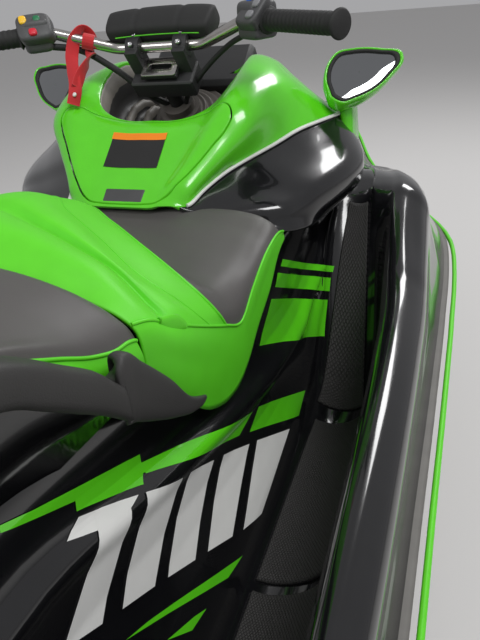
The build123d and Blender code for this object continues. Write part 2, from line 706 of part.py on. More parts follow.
# The fixed bellows housing, then the turning stem, clamps and slotted plate
column = rod(steer(0, 0, -150), steer(0, 0, -62), 44, 24) + rod(steer(0, 0, -62), steer(0, 0, -46), 34, 24)
stem_bore = bore(steer(0, 0, -150), steer(0, 0, -40), 15.6 + PIN_GAP)
column = column - stem_bore - block(100, 500, -200, 200, 400, WELL_FLOOR + SEAT_GAP)
save("steering_column", one(column))
head = turned_box(steer(4, 0, 12), FORE, AXIS, (58, 136, 40), 4)
head = head + rod(steer(0, 0, -120), steer(0, 0, -8), 15.6)
for y in (-CLAMP_Y, CLAMP_Y):
    clamp = Vector(bar_middle.X, y, bar_middle.Z)
    foot = steer(6, y, 30)
    head = head + turned_box((foot + clamp) / 2, FORE, AXIS, (34, 26, 66))
    head = head + rod(clamp - PORT * 14, clamp + PORT * 14, 21)
head = head + turned_box(steer(2, 0, 42), FORE, AXIS, (44, 78, 7))
slot = turned_box(steer(2, 0, 42), FORE, AXIS, (16, 46, 20))
head = one(head - slot - bar_bore)
save("steering_head", head)

# Crash pad over the middle of the bar, with a channel that clears its bends
PAD_WIDE = 226
PAD_AT = Vector(222, 0, 803)
pad = turned_box(PAD_AT, FORE, AXIS, (62, PAD_WIDE, 46), 9)
for side in (1, -1):
    pad = pad - rod(sided(bar_middle, side), sided(bar_knee, side), BAR_RADIUS + 3)
pad = pad - rod(sided(bar_middle, -1), bar_middle, BAR_RADIUS + 3)
save("bar_pad", one(pad - head))

# Grips, switch housings and the throttle lever
GRIP_RADIUS = 17
HOUSING_LONG = 52
HOUSING_WIDE = 50
HOUSING_TALL = 54
for side, name in ((1, "port"), (-1, "starboard")):
    start = sided(grip_inner + grip_dir * 10, side)
    end = sided(grip_outer + grip_dir * 3, side)
    bar_room = rod(sided(bar_knee, side), sided(grip_outer + grip_dir * 0.5, side), BAR_RADIUS + SEAT_GAP)
    grip = rod(start, end, GRIP_RADIUS) + rod(sided(grip_outer - grip_dir * 5, side), end, 23, 12)
    save(f"grip_{name}", one(grip - bar_room))
    middle = sided(grip_inner - grip_dir * 17, side)
    housing = turned_box(middle, sided(grip_dir, side), Vector(0, 0, 1), (HOUSING_LONG, HOUSING_WIDE, HOUSING_TALL), 8)
    save(f"switch_housing_{name}", one(housing - bar_outside))
outboard = sided(grip_dir, -1)
lever_root = sided(grip_inner, -1) - outboard * 12
ahead = outboard.cross(Vector(0, 0, 1)) * -1
ahead = ahead if ahead.X > 0 else ahead * -1
lever = turned_box(lever_root + ahead * 31 + outboard * 40 - Vector(0, 0, 8), outboard, Vector(0, 0, 1), (104, 11, 15), 2)
lever_hub = lever_root + ahead * 34
lever = lever + rod(lever_hub - Vector(0, 0, 22), lever_hub + Vector(0, 0, 6), 9)
housing_room = turned_box(lever_root - outboard * 5, outboard, Vector(0, 0, 1),
                          (HOUSING_LONG, HOUSING_WIDE + 2 * SEAT_GAP, HOUSING_TALL + 2 * SEAT_GAP))
save("throttle_lever", one(lever - housing_room))

# Instrument pod ahead of the bars
POD_TILT = 0.6
pod = turned_box(Vector(392, 0, 690), Vector(math.cos(POD_TILT), 0, math.sin(POD_TILT)),
                 Vector(-math.sin(POD_TILT), 0, math.cos(POD_TILT)), (120, 236, 40), 10)
save("instrument_pod", one(pod - console - hood_mass.moved(Location((-PANEL_GAP - 1, 0, 0)))))

# Mirrors: bezel corners on a plane, then the foot on the fairing's shoulder
MIRROR_AT = Vector(336, 360, 690)
MIRROR_FACE = Vector(-0.756, 0.223, 0.616).normalized()
MIRROR_RING = [(304, 298, 671), (344, 308, 716), (371, 381, 724), (376, 445, 706), (284, 338, 632)]
MIRROR_FOOT = [(318, 312), (372, 306), (400, 322), (398, 350), (330, 352)]
MIRROR_FOOT_Z = 540
BEZEL = 0.12          # share of the way from the shell's edge to its middle
RECESS = 6
GLASS_SET = 2.0


def on_mirror(point, out=0.0):
    """A point moved square on to the mirror's plane, then out along its face."""
    v = Vector(*point)
    return v - MIRROR_FACE * ((v - MIRROR_AT).dot(MIRROR_FACE) - out)


shell_ring = [on_mirror(p) for p in MIRROR_RING]
mirror_middle = sum(shell_ring, Vector(0, 0, 0)) / len(shell_ring)
pane_ring = [p + (mirror_middle - p) * BEZEL for p in shell_ring]


def pane(front, back):
    """Slab of the pane's outline between two depths."""
    return skin([[p + MIRROR_FACE * front for p in pane_ring], [p + MIRROR_FACE * back for p in pane_ring]])


shell = skin([shell_ring, [Vector(x, y, MIRROR_FOOT_Z) for x, y in MIRROR_FOOT]])
mirror = one(shell - pane(RECESS, -RECESS) - console_mass - fairing_mass)
save("mirror_port", mirror)
save("mirror_starboard", mirrored(mirror))
glass = pane(-GLASS_SET, SEAT_GAP - RECESS)
save("mirror_glass_port", glass)
save("mirror_glass_starboard", mirrored(glass))

# Storage lid latch
latch = turned_box(Vector(-30, 0, 543.5), Vector(0.78, 0, 0.62), Vector(-0.62, 0, 0.78), (28, 82, 10), 2)
save("lid_latch", one(latch - console_mass))

# Traction mats on the footwell floors, the toe-boards and the stern platform
MAT = 5
toe_low, toe_high = FLOOR_TABLE[-2], FLOOR_TABLE[-1]
toe_slope = (toe_high[2] - toe_low[2]) / (toe_high[0] - toe_low[0])
mat_outlines = [[(-8, 337), (12, 438), (-370, 444), (-404, 337)],
                [(-424, 337), (-390, 444), (-930, 440), (-930, 337)]]


def toe_ring(over):
    """Outline of the toe mat, parallel to the toe-board and over it by a height."""
    ring = []
    for x, y in ((82, 340), (82, 432), (332, 374), (332, 344)):
        ring.append(Vector(x, y, toe_low[2] + (x - toe_low[0]) * toe_slope + over))
    return ring


toe_mat = skin([toe_ring(SEAT_GAP), toe_ring(SEAT_GAP + MAT / math.cos(math.atan(toe_slope)))])
toe_mat = one(toe_mat - pedestal)
for side, name in ((1, "port"), (-1, "starboard")):
    pieces = [plan_plate([(x, side * y) for x, y in outline], FLOOR, FLOOR + MAT) for outline in mat_outlines]
    save(f"mat_{name}", *pieces, toe_mat if side > 0 else mirrored(toe_mat))
stern_mat = plan_plate([(-1640, -405), (-1215, -415), (-1215, 415), (-1640, 405)], PLATFORM, PLATFORM + MAT)
save("stern_mat", one(stern_mat - pedestal))

# Jet pump: intake flange, impeller housing, stator and outlet
PUMP_OUTER = 98
PUMP_FORE = TUNNEL_FORE - SEAT_GAP
PUMP_MID = -1330
PUMP_NECK = -1405
PUMP_END = -1450
OUTLET_OUTER = 56
OUTLET_BORE = 47
NOZZLE_PIVOT_X = -1440
STATOR_FORE = -1236
VANES = 5
HUB = 34


def on_axis(x):
    """Point on the pump's axis."""
    return (x, 0, PUMP_AXIS_Z)




def turned(profile, sides=24):
    """Round body about the pump's axis, from stations given as x and radius."""
    return skin([ring_on(Plane(origin=on_axis(x), x_dir=(0, 1, 0), z_dir=(1, 0, 0)), r, sides) for x, r in profile])


FLANGE_OUTER = 118
FLANGE_THICK = 14
pump = turned([(PUMP_END, OUTLET_OUTER), (PUMP_NECK, OUTLET_OUTER), (PUMP_MID, PUMP_OUTER),
               (PUMP_FORE - FLANGE_THICK, PUMP_OUTER), (PUMP_FORE - FLANGE_THICK, FLANGE_OUTER),
               (PUMP_FORE, FLANGE_OUTER)])
pump = pump - bore(on_axis(PUMP_MID), on_axis(PUMP_FORE + 1), PUMP_BORE)
pump = pump - turned([(PUMP_END - 1, OUTLET_BORE), (PUMP_END, OUTLET_BORE), (PUMP_MID, PUMP_BORE),
                      (PUMP_MID + 1, PUMP_BORE)])
stator = turned([(PUMP_NECK + 5, 8), (PUMP_MID, HUB), (STATOR_FORE, HUB)])
for k in range(VANES):
    vane = block(PUMP_MID, STATOR_FORE, -2.5, 2.5, PUMP_AXIS_Z + 20, PUMP_AXIS_Z + PUMP_BORE + 4)
    stator = stator + vane.rotate(Axis(on_axis(0), (1, 0, 0)), 360 / VANES * k)
pump = pump + stator
BUCKET_EAR_Y = 101
for side in (1, -1):
    y0, y1 = sorted((side * (BUCKET_EAR_Y - 8), side * BUCKET_EAR_Y))
    pump = pump + side_plate([(-1290, PUMP_AXIS_Z - 16), (-1458, PUMP_AXIS_Z - 14), (-1458, PUMP_AXIS_Z + 14),
                              (-1290, PUMP_AXIS_Z + 30)], y0, y1)
    pump = pump + rod((NOZZLE_PIVOT_X, side * (BUCKET_EAR_Y - 1), PUMP_AXIS_Z),
                      (NOZZLE_PIVOT_X, side * (BUCKET_EAR_Y + 9), PUMP_AXIS_Z), 8)
NOZZLE_PIN = 7
STRAP_LOW = 84
STRAP_HIGH = 92
for side in (1, -1):
    z0, z1 = sorted((PUMP_AXIS_Z + side * STRAP_LOW, PUMP_AXIS_Z + side * STRAP_HIGH))
    pump = pump + block(-1456, -1300, -20, 20, z0, z1)
    pump = pump + rod((NOZZLE_PIVOT_X, 0, PUMP_AXIS_Z + side * STRAP_LOW),
                      (NOZZLE_PIVOT_X, 0, PUMP_AXIS_Z + side * 68), NOZZLE_PIN)
save("jet_pump", one(pump))

# Impeller with its drive shaft: blades twisted round the hub
IMPELLER_CLEAR = 1.5
ENGINE_AFT = -560
BLADES = 3
BLADE_TWIST = 95
BLADE_STEPS = 4
BLADE_AFT = -1222
BLADE_FORE = -1132
BLADE_HALF = 3
impeller = turned([(STATOR_FORE + 4, HUB - 1), (-1118, HUB - 1), (-1080, SHAFT_RADIUS),
                   (ENGINE_AFT - SEAT_GAP, SHAFT_RADIUS)])
tip = PUMP_BORE - IMPELLER_CLEAR
for k in range(BLADES):
    rings = []
    for i in range(BLADE_STEPS + 1):
        t = i / BLADE_STEPS
        turn = math.radians(BLADE_TWIST * t + 360 / BLADES * k)
        out = Vector(0, math.cos(turn), math.sin(turn))
        along = Vector(0, -math.sin(turn), math.cos(turn))
        middle = Vector(*on_axis(BLADE_AFT + (BLADE_FORE - BLADE_AFT) * t))
        rings.append([middle + out * r + along * w for r, w in (
            (26, -BLADE_HALF), (tip, -BLADE_HALF), (tip, BLADE_HALF), (26, BLADE_HALF))])
    impeller = impeller + skin(rings)
save("impeller", one(impeller))

# Steering nozzle, hung between the two straps
NOZZLE_FORE = -1425
NOZZLE_AFT = -1590
nozzle = turned([(NOZZLE_AFT, 52), (NOZZLE_FORE, 80)]) - turned([(NOZZLE_AFT - 1, 44), (NOZZLE_FORE + 1, 74)])
for side in (1, -1):
    nozzle = nozzle + rod((NOZZLE_PIVOT_X, 0, PUMP_AXIS_Z + side * 73),
                          (NOZZLE_PIVOT_X, 0, PUMP_AXIS_Z + side * (STRAP_LOW - SEAT_GAP)), 12)
    nozzle = nozzle - bore((NOZZLE_PIVOT_X, 0, PUMP_AXIS_Z + side * 60),
                          (NOZZLE_PIVOT_X, 0, PUMP_AXIS_Z + side * 90), NOZZLE_PIN + PIN_GAP)
save("nozzle", one(nozzle))

# Reverse bucket, raised for going ahead
BUCKET_IN = 165
BUCKET_OUT = 171
BUCKET_LOW = 40
BUCKET_HIGH = 100
BUCKET_STEPS = 6
CHEEK = 6
BUCKET_HALF = BUCKET_EAR_Y + SEAT_GAP + CHEEK


def bucket_point(radius, degrees):
    """Point round the bucket's pivot, the angle counted up from straight aft."""
    a = math.radians(degrees)
    return (NOZZLE_PIVOT_X - radius * math.cos(a), PUMP_AXIS_Z + radius * math.sin(a))


steps = [BUCKET_LOW + (BUCKET_HIGH - BUCKET_LOW) * i / BUCKET_STEPS for i in range(BUCKET_STEPS + 1)]
outer_arc = [bucket_point(BUCKET_OUT, a) for a in steps]
inner_arc = [bucket_point(BUCKET_IN, a) for a in reversed(steps)]
bucket = side_plate(outer_arc + inner_arc, -BUCKET_HALF, BUCKET_HALF)
cheek_outline = [bucket_point(BUCKET_OUT - 2, a) for a in steps]
cheek_outline += [bucket_point(20, a) for a in (110, 150, 250, 320, 380)]
for y0 in (BUCKET_EAR_Y + SEAT_GAP, -BUCKET_EAR_Y - SEAT_GAP - CHEEK):
    bucket = bucket + side_plate(cheek_outline, y0, y0 + CHEEK)
bucket = bucket - bore((NOZZLE_PIVOT_X, -200, PUMP_AXIS_Z), (NOZZLE_PIVOT_X, 200, PUMP_AXIS_Z), 8 + PIN_GAP)
save("reverse_bucket", one(bucket))

# Ride plate and intake grate under the stern
plate_outline = [(0, -297), (124, -243), (124, -235), (0, -289)]
ride_plate = skin([
    [Vector(x, y, z) for y, z in plate_outline + [(-124, -235), (-124, -243)]]
    for x in (-1510, TUNNEL_FORE - SEAT_GAP)
])
save("ride_plate", one(ride_plate - pump))
grate_top = -262
grate = None
for y in (-66, -33, 0, 33, 66):
    bar = one(block(TUNNEL_FORE + 62, INTAKE_FORE - SEAT_GAP, y - 4, y + 4, -330, grate_top) & hull_block)
    grate = bar if grate is None else grate + bar
for x in (TUNNEL_FORE + 62, -690):
    half = INTAKE_HALF - SEAT_GAP
    grate = grate + (block(x, x + 12, -half, half, -276, grate_top) & hull_block)
save("intake_grate", one(grate))

# Engine, one plain block with its sump on the bay floor
ENGINE_FORE = 60
engine_half = [(BAY_FLOOR_HALF - 12, BAY_FLOOR + SEAT_GAP), (188, -150), (188, 120), (104, 262)]
save("engine", skin([across(x, engine_half) for x in (ENGINE_AFT, ENGINE_FORE)]))

# Sponsons on the hull sides
sponson = skin([
    on_side(x, [(500, -72), (y, -66), (y, -40), (500, 10)], 1)
    for x, y in ((-1560, 552), (-1180, 566), (-940, 536))
])
sponson = one(sponson - hull_block)
save("sponsons", sponson, mirrored(sponson))

# Bow eye and stern eyes
EYE_BORE = 8
BOW_EYE_X = 1664
EYE_OUT = 20
EYE_HALF = 6
bow_eye = rod((BOW_EYE_X, -EYE_HALF, 248), (BOW_EYE_X, EYE_HALF, 248), EYE_OUT, 12)
bow_eye = bow_eye + block(1560, BOW_EYE_X - 12, -EYE_HALF, EYE_HALF, 232, 262)
save("bow_eye", one(bow_eye - hull_block - bore((BOW_EYE_X, -20, 248), (BOW_EYE_X, 20, 248), EYE_BORE)))
STERN_EYE_Y = 330
STERN_EYE_Z = 70
eyes = []
for y in (-STERN_EYE_Y, STERN_EYE_Y):
    eye = rod((STERN - 14, y - EYE_HALF, STERN_EYE_Z), (STERN - 14, y + EYE_HALF, STERN_EYE_Z), EYE_OUT, 12)
    eye = eye + block(STERN - 14, STERN - SEAT_GAP, y - EYE_HALF, y + EYE_HALF, STERN_EYE_Z - 18, STERN_EYE_Z + 18)
    hole = bore((STERN - 16, y - 20, STERN_EYE_Z), (STERN - 16, y + 20, STERN_EYE_Z), EYE_BORE)
    eyes.append(one(eye - hole - hull_block))
save("stern_eyes", *eyes)

# Drain plugs on the transom
save("drain_plugs", *[rod((STERN - SEAT_GAP, y, -60), (STERN - 12, y, -60), 17, 6) for y in (-250, 250)])

# Boarding step, folded up against the transom
STEP_X = -1668
STEP_HALF = 176
STEP_LEG = 118
STEP_ARM = 8
STEP_PIN = 5
KNUCKLE = 12
step = block(STEP_X - 10, STEP_X + 10, -STEP_HALF, STEP_HALF, STEP_LEG - 44, STEP_LEG)
step = chamfer(step.edges(), 4)
for side in (1, -1):
    y0, y1 = sorted((side * (STEP_HALF - STEP_ARM), side * STEP_HALF))
    step = step + side_plate([(STEP_X - 8, 0), (STEP_X + 8, 0), (STEP_X + 6, STEP_LEG - 4), (STEP_X - 6, STEP_LEG - 4)],
                             y0, y1)
    step = step + rod((STEP_X, side * (STEP_HALF - KNUCKLE), 0), (STEP_X, side * (STEP_HALF + KNUCKLE), 0), KNUCKLE)
step = step - bore((STEP_X, -300, 0), (STEP_X, 300, 0), STEP_PIN + PIN_GAP)
save("boarding_step", one(step))
brackets = []
for side in (1, -1):
    y0, y1 = sorted((side * (STEP_HALF + KNUCKLE + SEAT_GAP), side * (STEP_HALF + KNUCKLE + 8)))
    bracket = block(STEP_X - 14, STERN - SEAT_GAP, y0, y1, -14, 14)
    pin = rod((STEP_X, side * (STEP_HALF + KNUCKLE + 4), 0), (STEP_X, side * (STEP_HALF - KNUCKLE), 0), STEP_PIN)
    brackets.append(bracket + pin)
save("step_brackets", *brackets)

# Fuel filler cap on the foredeck
save("fuel_cap", one(rod((500, 322, 400), (500, 322, 442), 36, 16) - foredeck))

# Tether: a band of webbing round the port side of the bar
BAND = 22
band_at = bar_middle + (bar_knee - bar_middle) * 0.45
band_dir = (bar_knee - bar_middle).normalized()
band = rod(band_at - band_dir * BAND / 2, band_at + band_dir * BAND / 2, BAR_RADIUS + 4)
save("tether_ring", one(band - rod(band_at - band_dir * BAND, band_at + band_dir * BAND, BAR_RADIUS + SEAT_GAP)))
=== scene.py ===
import math

import bpy
import numpy as np
from mathutils import Matrix, Vector


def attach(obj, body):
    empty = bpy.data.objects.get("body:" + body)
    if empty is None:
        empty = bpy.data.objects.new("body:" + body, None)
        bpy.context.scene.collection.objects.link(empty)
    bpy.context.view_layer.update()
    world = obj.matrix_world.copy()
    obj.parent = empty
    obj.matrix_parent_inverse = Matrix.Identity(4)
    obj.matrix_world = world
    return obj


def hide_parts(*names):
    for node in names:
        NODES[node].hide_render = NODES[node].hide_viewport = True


bl_info = {
    "name": "Personal Watercraft",
    "version": (1, 0, 0),
    "blender": (4, 5, 0),
    "location": "View3D > Sidebar > Watercraft",
    "description": "Dresses a packed personal watercraft with moulded skins, seats, trim and a studio stage",
    "category": "Object",
}

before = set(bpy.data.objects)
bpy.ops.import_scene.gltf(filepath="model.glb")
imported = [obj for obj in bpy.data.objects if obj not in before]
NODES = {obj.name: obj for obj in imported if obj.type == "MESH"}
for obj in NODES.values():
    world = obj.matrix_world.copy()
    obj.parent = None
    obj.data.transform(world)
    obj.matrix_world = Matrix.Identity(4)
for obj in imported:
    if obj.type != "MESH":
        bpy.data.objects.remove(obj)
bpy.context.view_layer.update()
MM = 0.001
SIDES = ((1, "port"), (-1, "starboard"))


# Shapes: everything below works on whole numpy arrays, in millimetres until a mesh is made.

def through(knots, steps, sharp=()):
    """Smooth curve through rows of knots along axis 0, with steps samples to a span.

    Each span is a cubic whose end slopes are the chord-weighted means of the two neighbouring
    chords; at a sharp knot the curve is split, so it keeps its corner.
    """
    knots = np.asarray(knots, float)
    cuts = [0, *sorted(sharp), len(knots) - 1]
    parts = []
    for first, last in zip(cuts[:-1], cuts[1:]):
        p = knots[first:last + 1]
        if len(p) < 2:
            continue
        chord = np.diff(p, axis=0)
        length = np.sqrt((chord ** 2).sum(-1, keepdims=True)) + 1e-6
        slope = chord / length
        inner = (slope[:-1] * length[1:] + slope[1:] * length[:-1]) / (length[:-1] + length[1:])
        tangent = np.concatenate([slope[:1], inner, slope[-1:]])
        t = (np.arange(steps) / steps).reshape([1, steps] + [1] * (p.ndim - 1))
        a, b = p[:-1, None], p[1:, None]
        m, n = (tangent[:-1] * length)[:, None], (tangent[1:] * length)[:, None]
        curve = ((2 * t ** 3 - 3 * t ** 2 + 1) * a + (t ** 3 - 2 * t ** 2 + t) * m
                 + (3 * t ** 2 - 2 * t ** 3) * b + (t ** 3 - t ** 2) * n)
        parts.append(curve.reshape([-1] + list(p.shape[1:])))
    return np.concatenate(parts + [knots[-1:]])


def crosswise(rows, steps):
    """Rows of points smoothed across the boat: through() along their second axis."""
    return through(rows.swapaxes(0, 1), steps).swapaxes(0, 1)


def net(rows, steps_u, steps_v):
    """Smooth surface through a table of rows of points: through() along both ways of the table."""
    return crosswise(through(rows, steps_u), steps_v)


def both_sides(rows):
    """Rows given from the centreline to port, continued from starboard to port as one table."""
    rows = np.asarray(rows, float)
    other = rows[:, :0:-1] * np.array([1, -1, 1])
    return np.concatenate([other, rows], 1)


def stations(x, profile):
    """Rows of points, one row a station x, with one point for each y and z of the profile."""
    return np.stack([np.stack([x, y, z], 1) for y, z in profile], 1)


def mesh_piece(name, points, faces, smooth=True):
    """Object from points in millimetres and rows of corner numbers."""
    mesh = bpy.data.meshes.new(name)
    points = np.asarray(points, float) * MM
    mesh.from_pydata(points.tolist(), [], faces.tolist() if hasattr(faces, "tolist") else faces)
    mesh.update()
    mesh.polygons.foreach_set("use_smooth", np.full(len(mesh.polygons), smooth))
    piece = bpy.data.objects.new(name, mesh)
    bpy.context.scene.collection.objects.link(piece)
    return piece


def quads(rows, columns, wrap=False, flip=False):
    """Corner numbers of a grid's faces, its last column joined to its first where asked."""
    u, v = np.meshgrid(np.arange(rows - 1), np.arange(columns if wrap else columns - 1), indexing="ij")
    a, d = u * columns + v, u * columns + (v + 1) % columns
    order = (d, d + columns, a + columns, a) if flip else (a, a + columns, d + columns, d)
    return np.stack([k.ravel() for k in order], 1)


def grid_piece(name, grid, wrap=False, flip=False):
    """Object from a grid of points; each cell is one four-sided face."""
    rows, columns = grid.shape[:2]
    return mesh_piece(name, grid.reshape(-1, 3), quads(rows, columns, wrap, flip))


def unit(v):
    """Vectors along the last axis made one long."""
    return v / (np.sqrt((v ** 2).sum(-1, keepdims=True)) + 1e-12)


def swept(name, path, profile, up=(0, 0, 1), scale=None):
    """Piece from a flat profile carried along a path, its two ends closed by fans.

    At each path point the profile's first axis is up crossed with the tangent and its second is
    the tangent crossed with that; scale, one number or a pair for each path point, stretches it.
    """
    path, profile = np.asarray(path, float), np.asarray(profile, float)
    tangent = unit(np.gradient(path, axis=0))
    side = unit(np.cross(np.broadcast_to(np.asarray(up, float), path.shape), tangent))
    rise = np.cross(tangent, side)
    scale = np.asarray(np.ones(len(path)) if scale is None else scale, float)
    if scale.ndim == 1:
        scale = np.stack([scale, scale], 1)
    grid = (path[:, None] + side[:, None] * (profile[None, :, :1] * scale[:, None, :1])
            + rise[:, None] * (profile[None, :, 1:] * scale[:, None, 1:]))
    rows, columns = grid.shape[:2]
    points = np.concatenate([grid.reshape(-1, 3), path[:1], path[-1:]])
    ring = np.arange(columns)
    after = (ring + 1) % columns
    first, base = rows * columns, (rows - 1) * columns
    faces = quads(rows, columns, True, flip=True).tolist()
    faces += np.stack([ring, after, np.full(columns, first)], 1).tolist()
    faces += np.stack([base + after, base + ring, np.full(columns, first + 1)], 1).tolist()
    return mesh_piece(name, points, faces)


def circle(radius, count):
    """Round profile."""
    a = np.arange(count) / count * 2 * np.pi
    return np.stack([np.cos(a), np.sin(a)], 1) * radius


def rounded(wide, tall, corner, count):
    """Rectangle profile with round corners, each corner a quarter circle of count steps."""
    a = np.arange(count + 1) / count * np.pi / 2
    arcs = [np.stack([np.cos(a + k * np.pi / 2), np.sin(a + k * np.pi / 2)], 1) * corner
            + np.array([sx * (wide / 2 - corner), sy * (tall / 2 - corner)])
            for k, (sx, sy) in enumerate(((1, 1), (-1, 1), (-1, -1), (1, -1)))]
    return np.concatenate(arcs)


def turned(profile, origin, axis, count):
    """Solid of revolution: rows of (radius, height) turned about an axis through origin."""
    axis = unit(np.asarray(axis, float))
    helper = np.array([0, 1, 0]) if abs(axis[1]) < 0.9 else np.array([1, 0, 0])
    first = unit(np.cross(helper, axis))
    second = np.cross(axis, first)
    a = np.arange(count) / count * 2 * np.pi
    profile = np.asarray(profile, float)
    spokes = np.cos(a)[:, None] * first + np.sin(a)[:, None] * second
    return np.asarray(origin, float) + profile[:, None, 1:] * axis + profile[:, None, :1] * spokes[None]


def turned_piece(name, profile, origin, axis, count):
    """Turned solid with its two ends closed by a fan to the axis."""
    ends = [(0.0, profile[0][1]), *profile, (0.0, profile[-1][1])]
    return tidy_mesh(grid_piece(name, turned(ends, origin, axis, count), wrap=True, flip=True))


def pick(piece):
    """Make a piece the active one and the only one selected."""
    bpy.context.view_layer.objects.active = piece
    bpy.ops.object.select_all(action="DESELECT")
    piece.select_set(True)


def tidy_mesh(piece, distance=0.02, normals=True):
    """Merge doubles within distance millimetres, and turn the faces outwards."""
    pick(piece)
    bpy.ops.object.mode_set(mode="EDIT")
    bpy.ops.mesh.select_all(action="SELECT")
    bpy.ops.mesh.remove_doubles(threshold=distance * MM)
    if normals:
        bpy.ops.mesh.normals_make_consistent(inside=False)
    bpy.ops.object.mode_set(mode="OBJECT")
    return piece


def apply_all(piece):
    """Bake the piece's modifiers into its mesh."""
    pick(piece)
    for modifier in list(piece.modifiers):
        bpy.ops.object.modifier_apply(modifier=modifier.name)
    return piece


def modified(piece, kind, **settings):
    """Give a piece one modifier and bake it."""
    modifier = piece.modifiers.new(kind.lower(), kind)
    for key, value in settings.items():
        setattr(modifier, key, value)
    return apply_all(piece)


def wall(piece, thick):
    """Give an open skin a wall, measured inwards."""
    return modified(piece, "SOLIDIFY", thickness=thick * MM, offset=-1.0, use_even_offset=False,
                    use_quality_normals=True)


def soften(piece, width, segments, angle):
    """Round the edges sharper than angle degrees."""
    return modified(piece, "BEVEL", width=width * MM, segments=segments, limit_method="ANGLE",
                    angle_limit=math.radians(angle), use_clamp_overlap=True, harden_normals=False)


def cut(piece, cutter, operation="DIFFERENCE"):
    """Boolean with another piece, which is then thrown away."""
    modified(piece, "BOOLEAN", operation=operation, object=cutter, solver="EXACT")
    bpy.data.objects.remove(cutter)
    return piece


def joined(name, pieces):
    """Several pieces made into one."""
    pieces = [apply_all(p) for p in pieces]
    bpy.ops.object.select_all(action="DESELECT")
    for p in pieces:
        p.select_set(True)
    bpy.context.view_layer.objects.active = pieces[0]
    if len(pieces) > 1:
        bpy.ops.object.join()
    pieces[0].name = name
    return pieces[0]


def by_angle(piece, degrees=35):
    """Smooth shading except across edges sharper than the angle."""
    pick(piece)
    bpy.ops.object.shade_smooth_by_angle(angle=math.radians(degrees), keep_sharp_edges=True)
    return piece


def prism(name, outline, low, high):
    """Straight-sided upright block on an outline, between two heights."""
    outline = np.asarray(outline, float)
    ends = [np.insert(outline, 2, h, axis=1) for h in (low, high)]
    count = len(outline)
    ring = np.arange(count)
    after = (ring + 1) % count
    sides = np.stack([ring, after, after + count, ring + count], 1).tolist()
    piece = mesh_piece(name, np.concatenate(ends), sides + [ring[::-1].tolist(), (ring + count).tolist()],
                       smooth=False)
    return tidy_mesh(piece, 0.001)


def flipped(piece, name):
    """The same piece on the other side of the boat, its faces turned back outwards."""
    mesh = piece.data.copy()
    co = np.empty(len(mesh.vertices) * 3)
    mesh.vertices.foreach_get("co", co)
    co = co.reshape(-1, 3) * np.array([1, -1, 1])
    mesh.vertices.foreach_set("co", co.ravel())
    mesh.flip_normals()
    mesh.update()
    twin = bpy.data.objects.new(name, mesh)
    bpy.context.scene.collection.objects.link(twin)
    return twin


def mark(piece, name, values):
    """Store one number for each vertex, for a material to read."""
    attribute = piece.data.attributes.new(name, "FLOAT", "POINT")
    attribute.data.foreach_set("value", np.asarray(values, np.float32).ravel())
    return piece


def vertices_of(piece):
    """Vertex places in millimetres."""
    co = np.empty(len(piece.data.vertices) * 3)
    piece.data.vertices.foreach_get("co", co)
    return co.reshape(-1, 3) / MM


def put_vertices(piece, co):
    """Set the vertex places, given in millimetres."""
    piece.data.vertices.foreach_set("co", (co * MM).ravel())


# Materials

def feed(tree, node, values):
    """Set a node's inputs, each to a plain value or to another node's output."""
    for key, value in values.items():
        if isinstance(value, bpy.types.NodeSocket):
            tree.links.new(value, node.inputs[key])
        else:
            node.inputs[key].default_value = value


def add_node(tree, kind, output, values=None, **settings):
    """Add a node with its settings and inputs, and return one of its outputs."""
    node = tree.nodes.new("ShaderNode" + kind)
    for key, value in settings.items():
        setattr(node, key, value)
    feed(tree, node, values or {})
    return node.outputs[output]


MOTTLE_SIZE = 30.0
COAT_ROUGH = 0.03
SHEEN_ROUGH = 0.5
GRAIN_DEPTH_M = 0.0006


def finish(name, colour, rough=0.4, metal=0.0, coat=0.0, mottle=0.06, grain=0.0, grain_size=600.0,
           sheen=0.0):
    """A finish whose colour and roughness wander a little, with a fine bump for its grain.

    Colour = base times 1 +- mottle by a soft noise; roughness rises by the same noise.
    """
    material = bpy.data.materials.new(name)
    material.use_nodes = True
    tree = material.node_tree
    where = add_node(tree, "TexCoord", "Object")
    noise = add_node(tree, "TexNoise", "Fac", {"Vector": where, "Scale": MOTTLE_SIZE, "Detail": 4.0})
    ramp = add_node(tree, "MapRange", "Result", {"Value": noise, "From Min": 0.3, "From Max": 0.7})
    low, high = ([min(1.0, c * (1 + share)) for c in colour[:3]] + [1] for share in (-mottle, mottle))
    paint = add_node(tree, "Mix", "Result", {"A": low, "B": high, "Factor": ramp}, data_type="RGBA")
    gloss = {"Value": noise, "To Min": rough * 0.92, "To Max": min(1.0, rough * 1.12)}
    values = {"Base Color": paint, "Roughness": add_node(tree, "MapRange", "Result", gloss),
              "Metallic": metal, "IOR": 1.5, "Specular IOR Level": 0.5}
    if coat:
        values.update({"Coat Weight": coat, "Coat Roughness": COAT_ROUGH})
    if sheen:
        values.update({"Sheen Weight": sheen, "Sheen Roughness": SHEEN_ROUGH})
    if grain:
        fine = add_node(tree, "TexNoise", "Fac", {"Vector": where, "Scale": grain_size, "Detail": 3.0})
        bump = {"Height": fine, "Strength": grain, "Distance": GRAIN_DEPTH_M}
        values["Normal"] = add_node(tree, "Bump", "Normal", bump)
    feed(tree, tree.nodes["Principled BSDF"], values)
    return material


def two_tone(name, inner, **outer):
    """A finish that changes to the inner colour where the piece's panel mark is above nought.

    On the seat cover that is its second cover colour; on the steering well's liner the inner colour
    is painted light on the fold crests and the outer colour painted shade in the deep folds.
    """
    material = finish(name, **outer)
    tree = material.node_tree
    base = tree.nodes["Principled BSDF"].inputs["Base Color"]
    reader = add_node(tree, "Attribute", "Fac", attribute_name="panel_and_painted_light")
    test = add_node(tree, "Math", "Value", {0: reader, 1: 0.0}, operation="GREATER_THAN")
    blend = add_node(tree, "Mix", "Result",
                     {"A": base.links[0].from_socket, "B": (*inner, 1), "Factor": test}, data_type="RGBA")
    tree.links.new(blend, base)
    return material


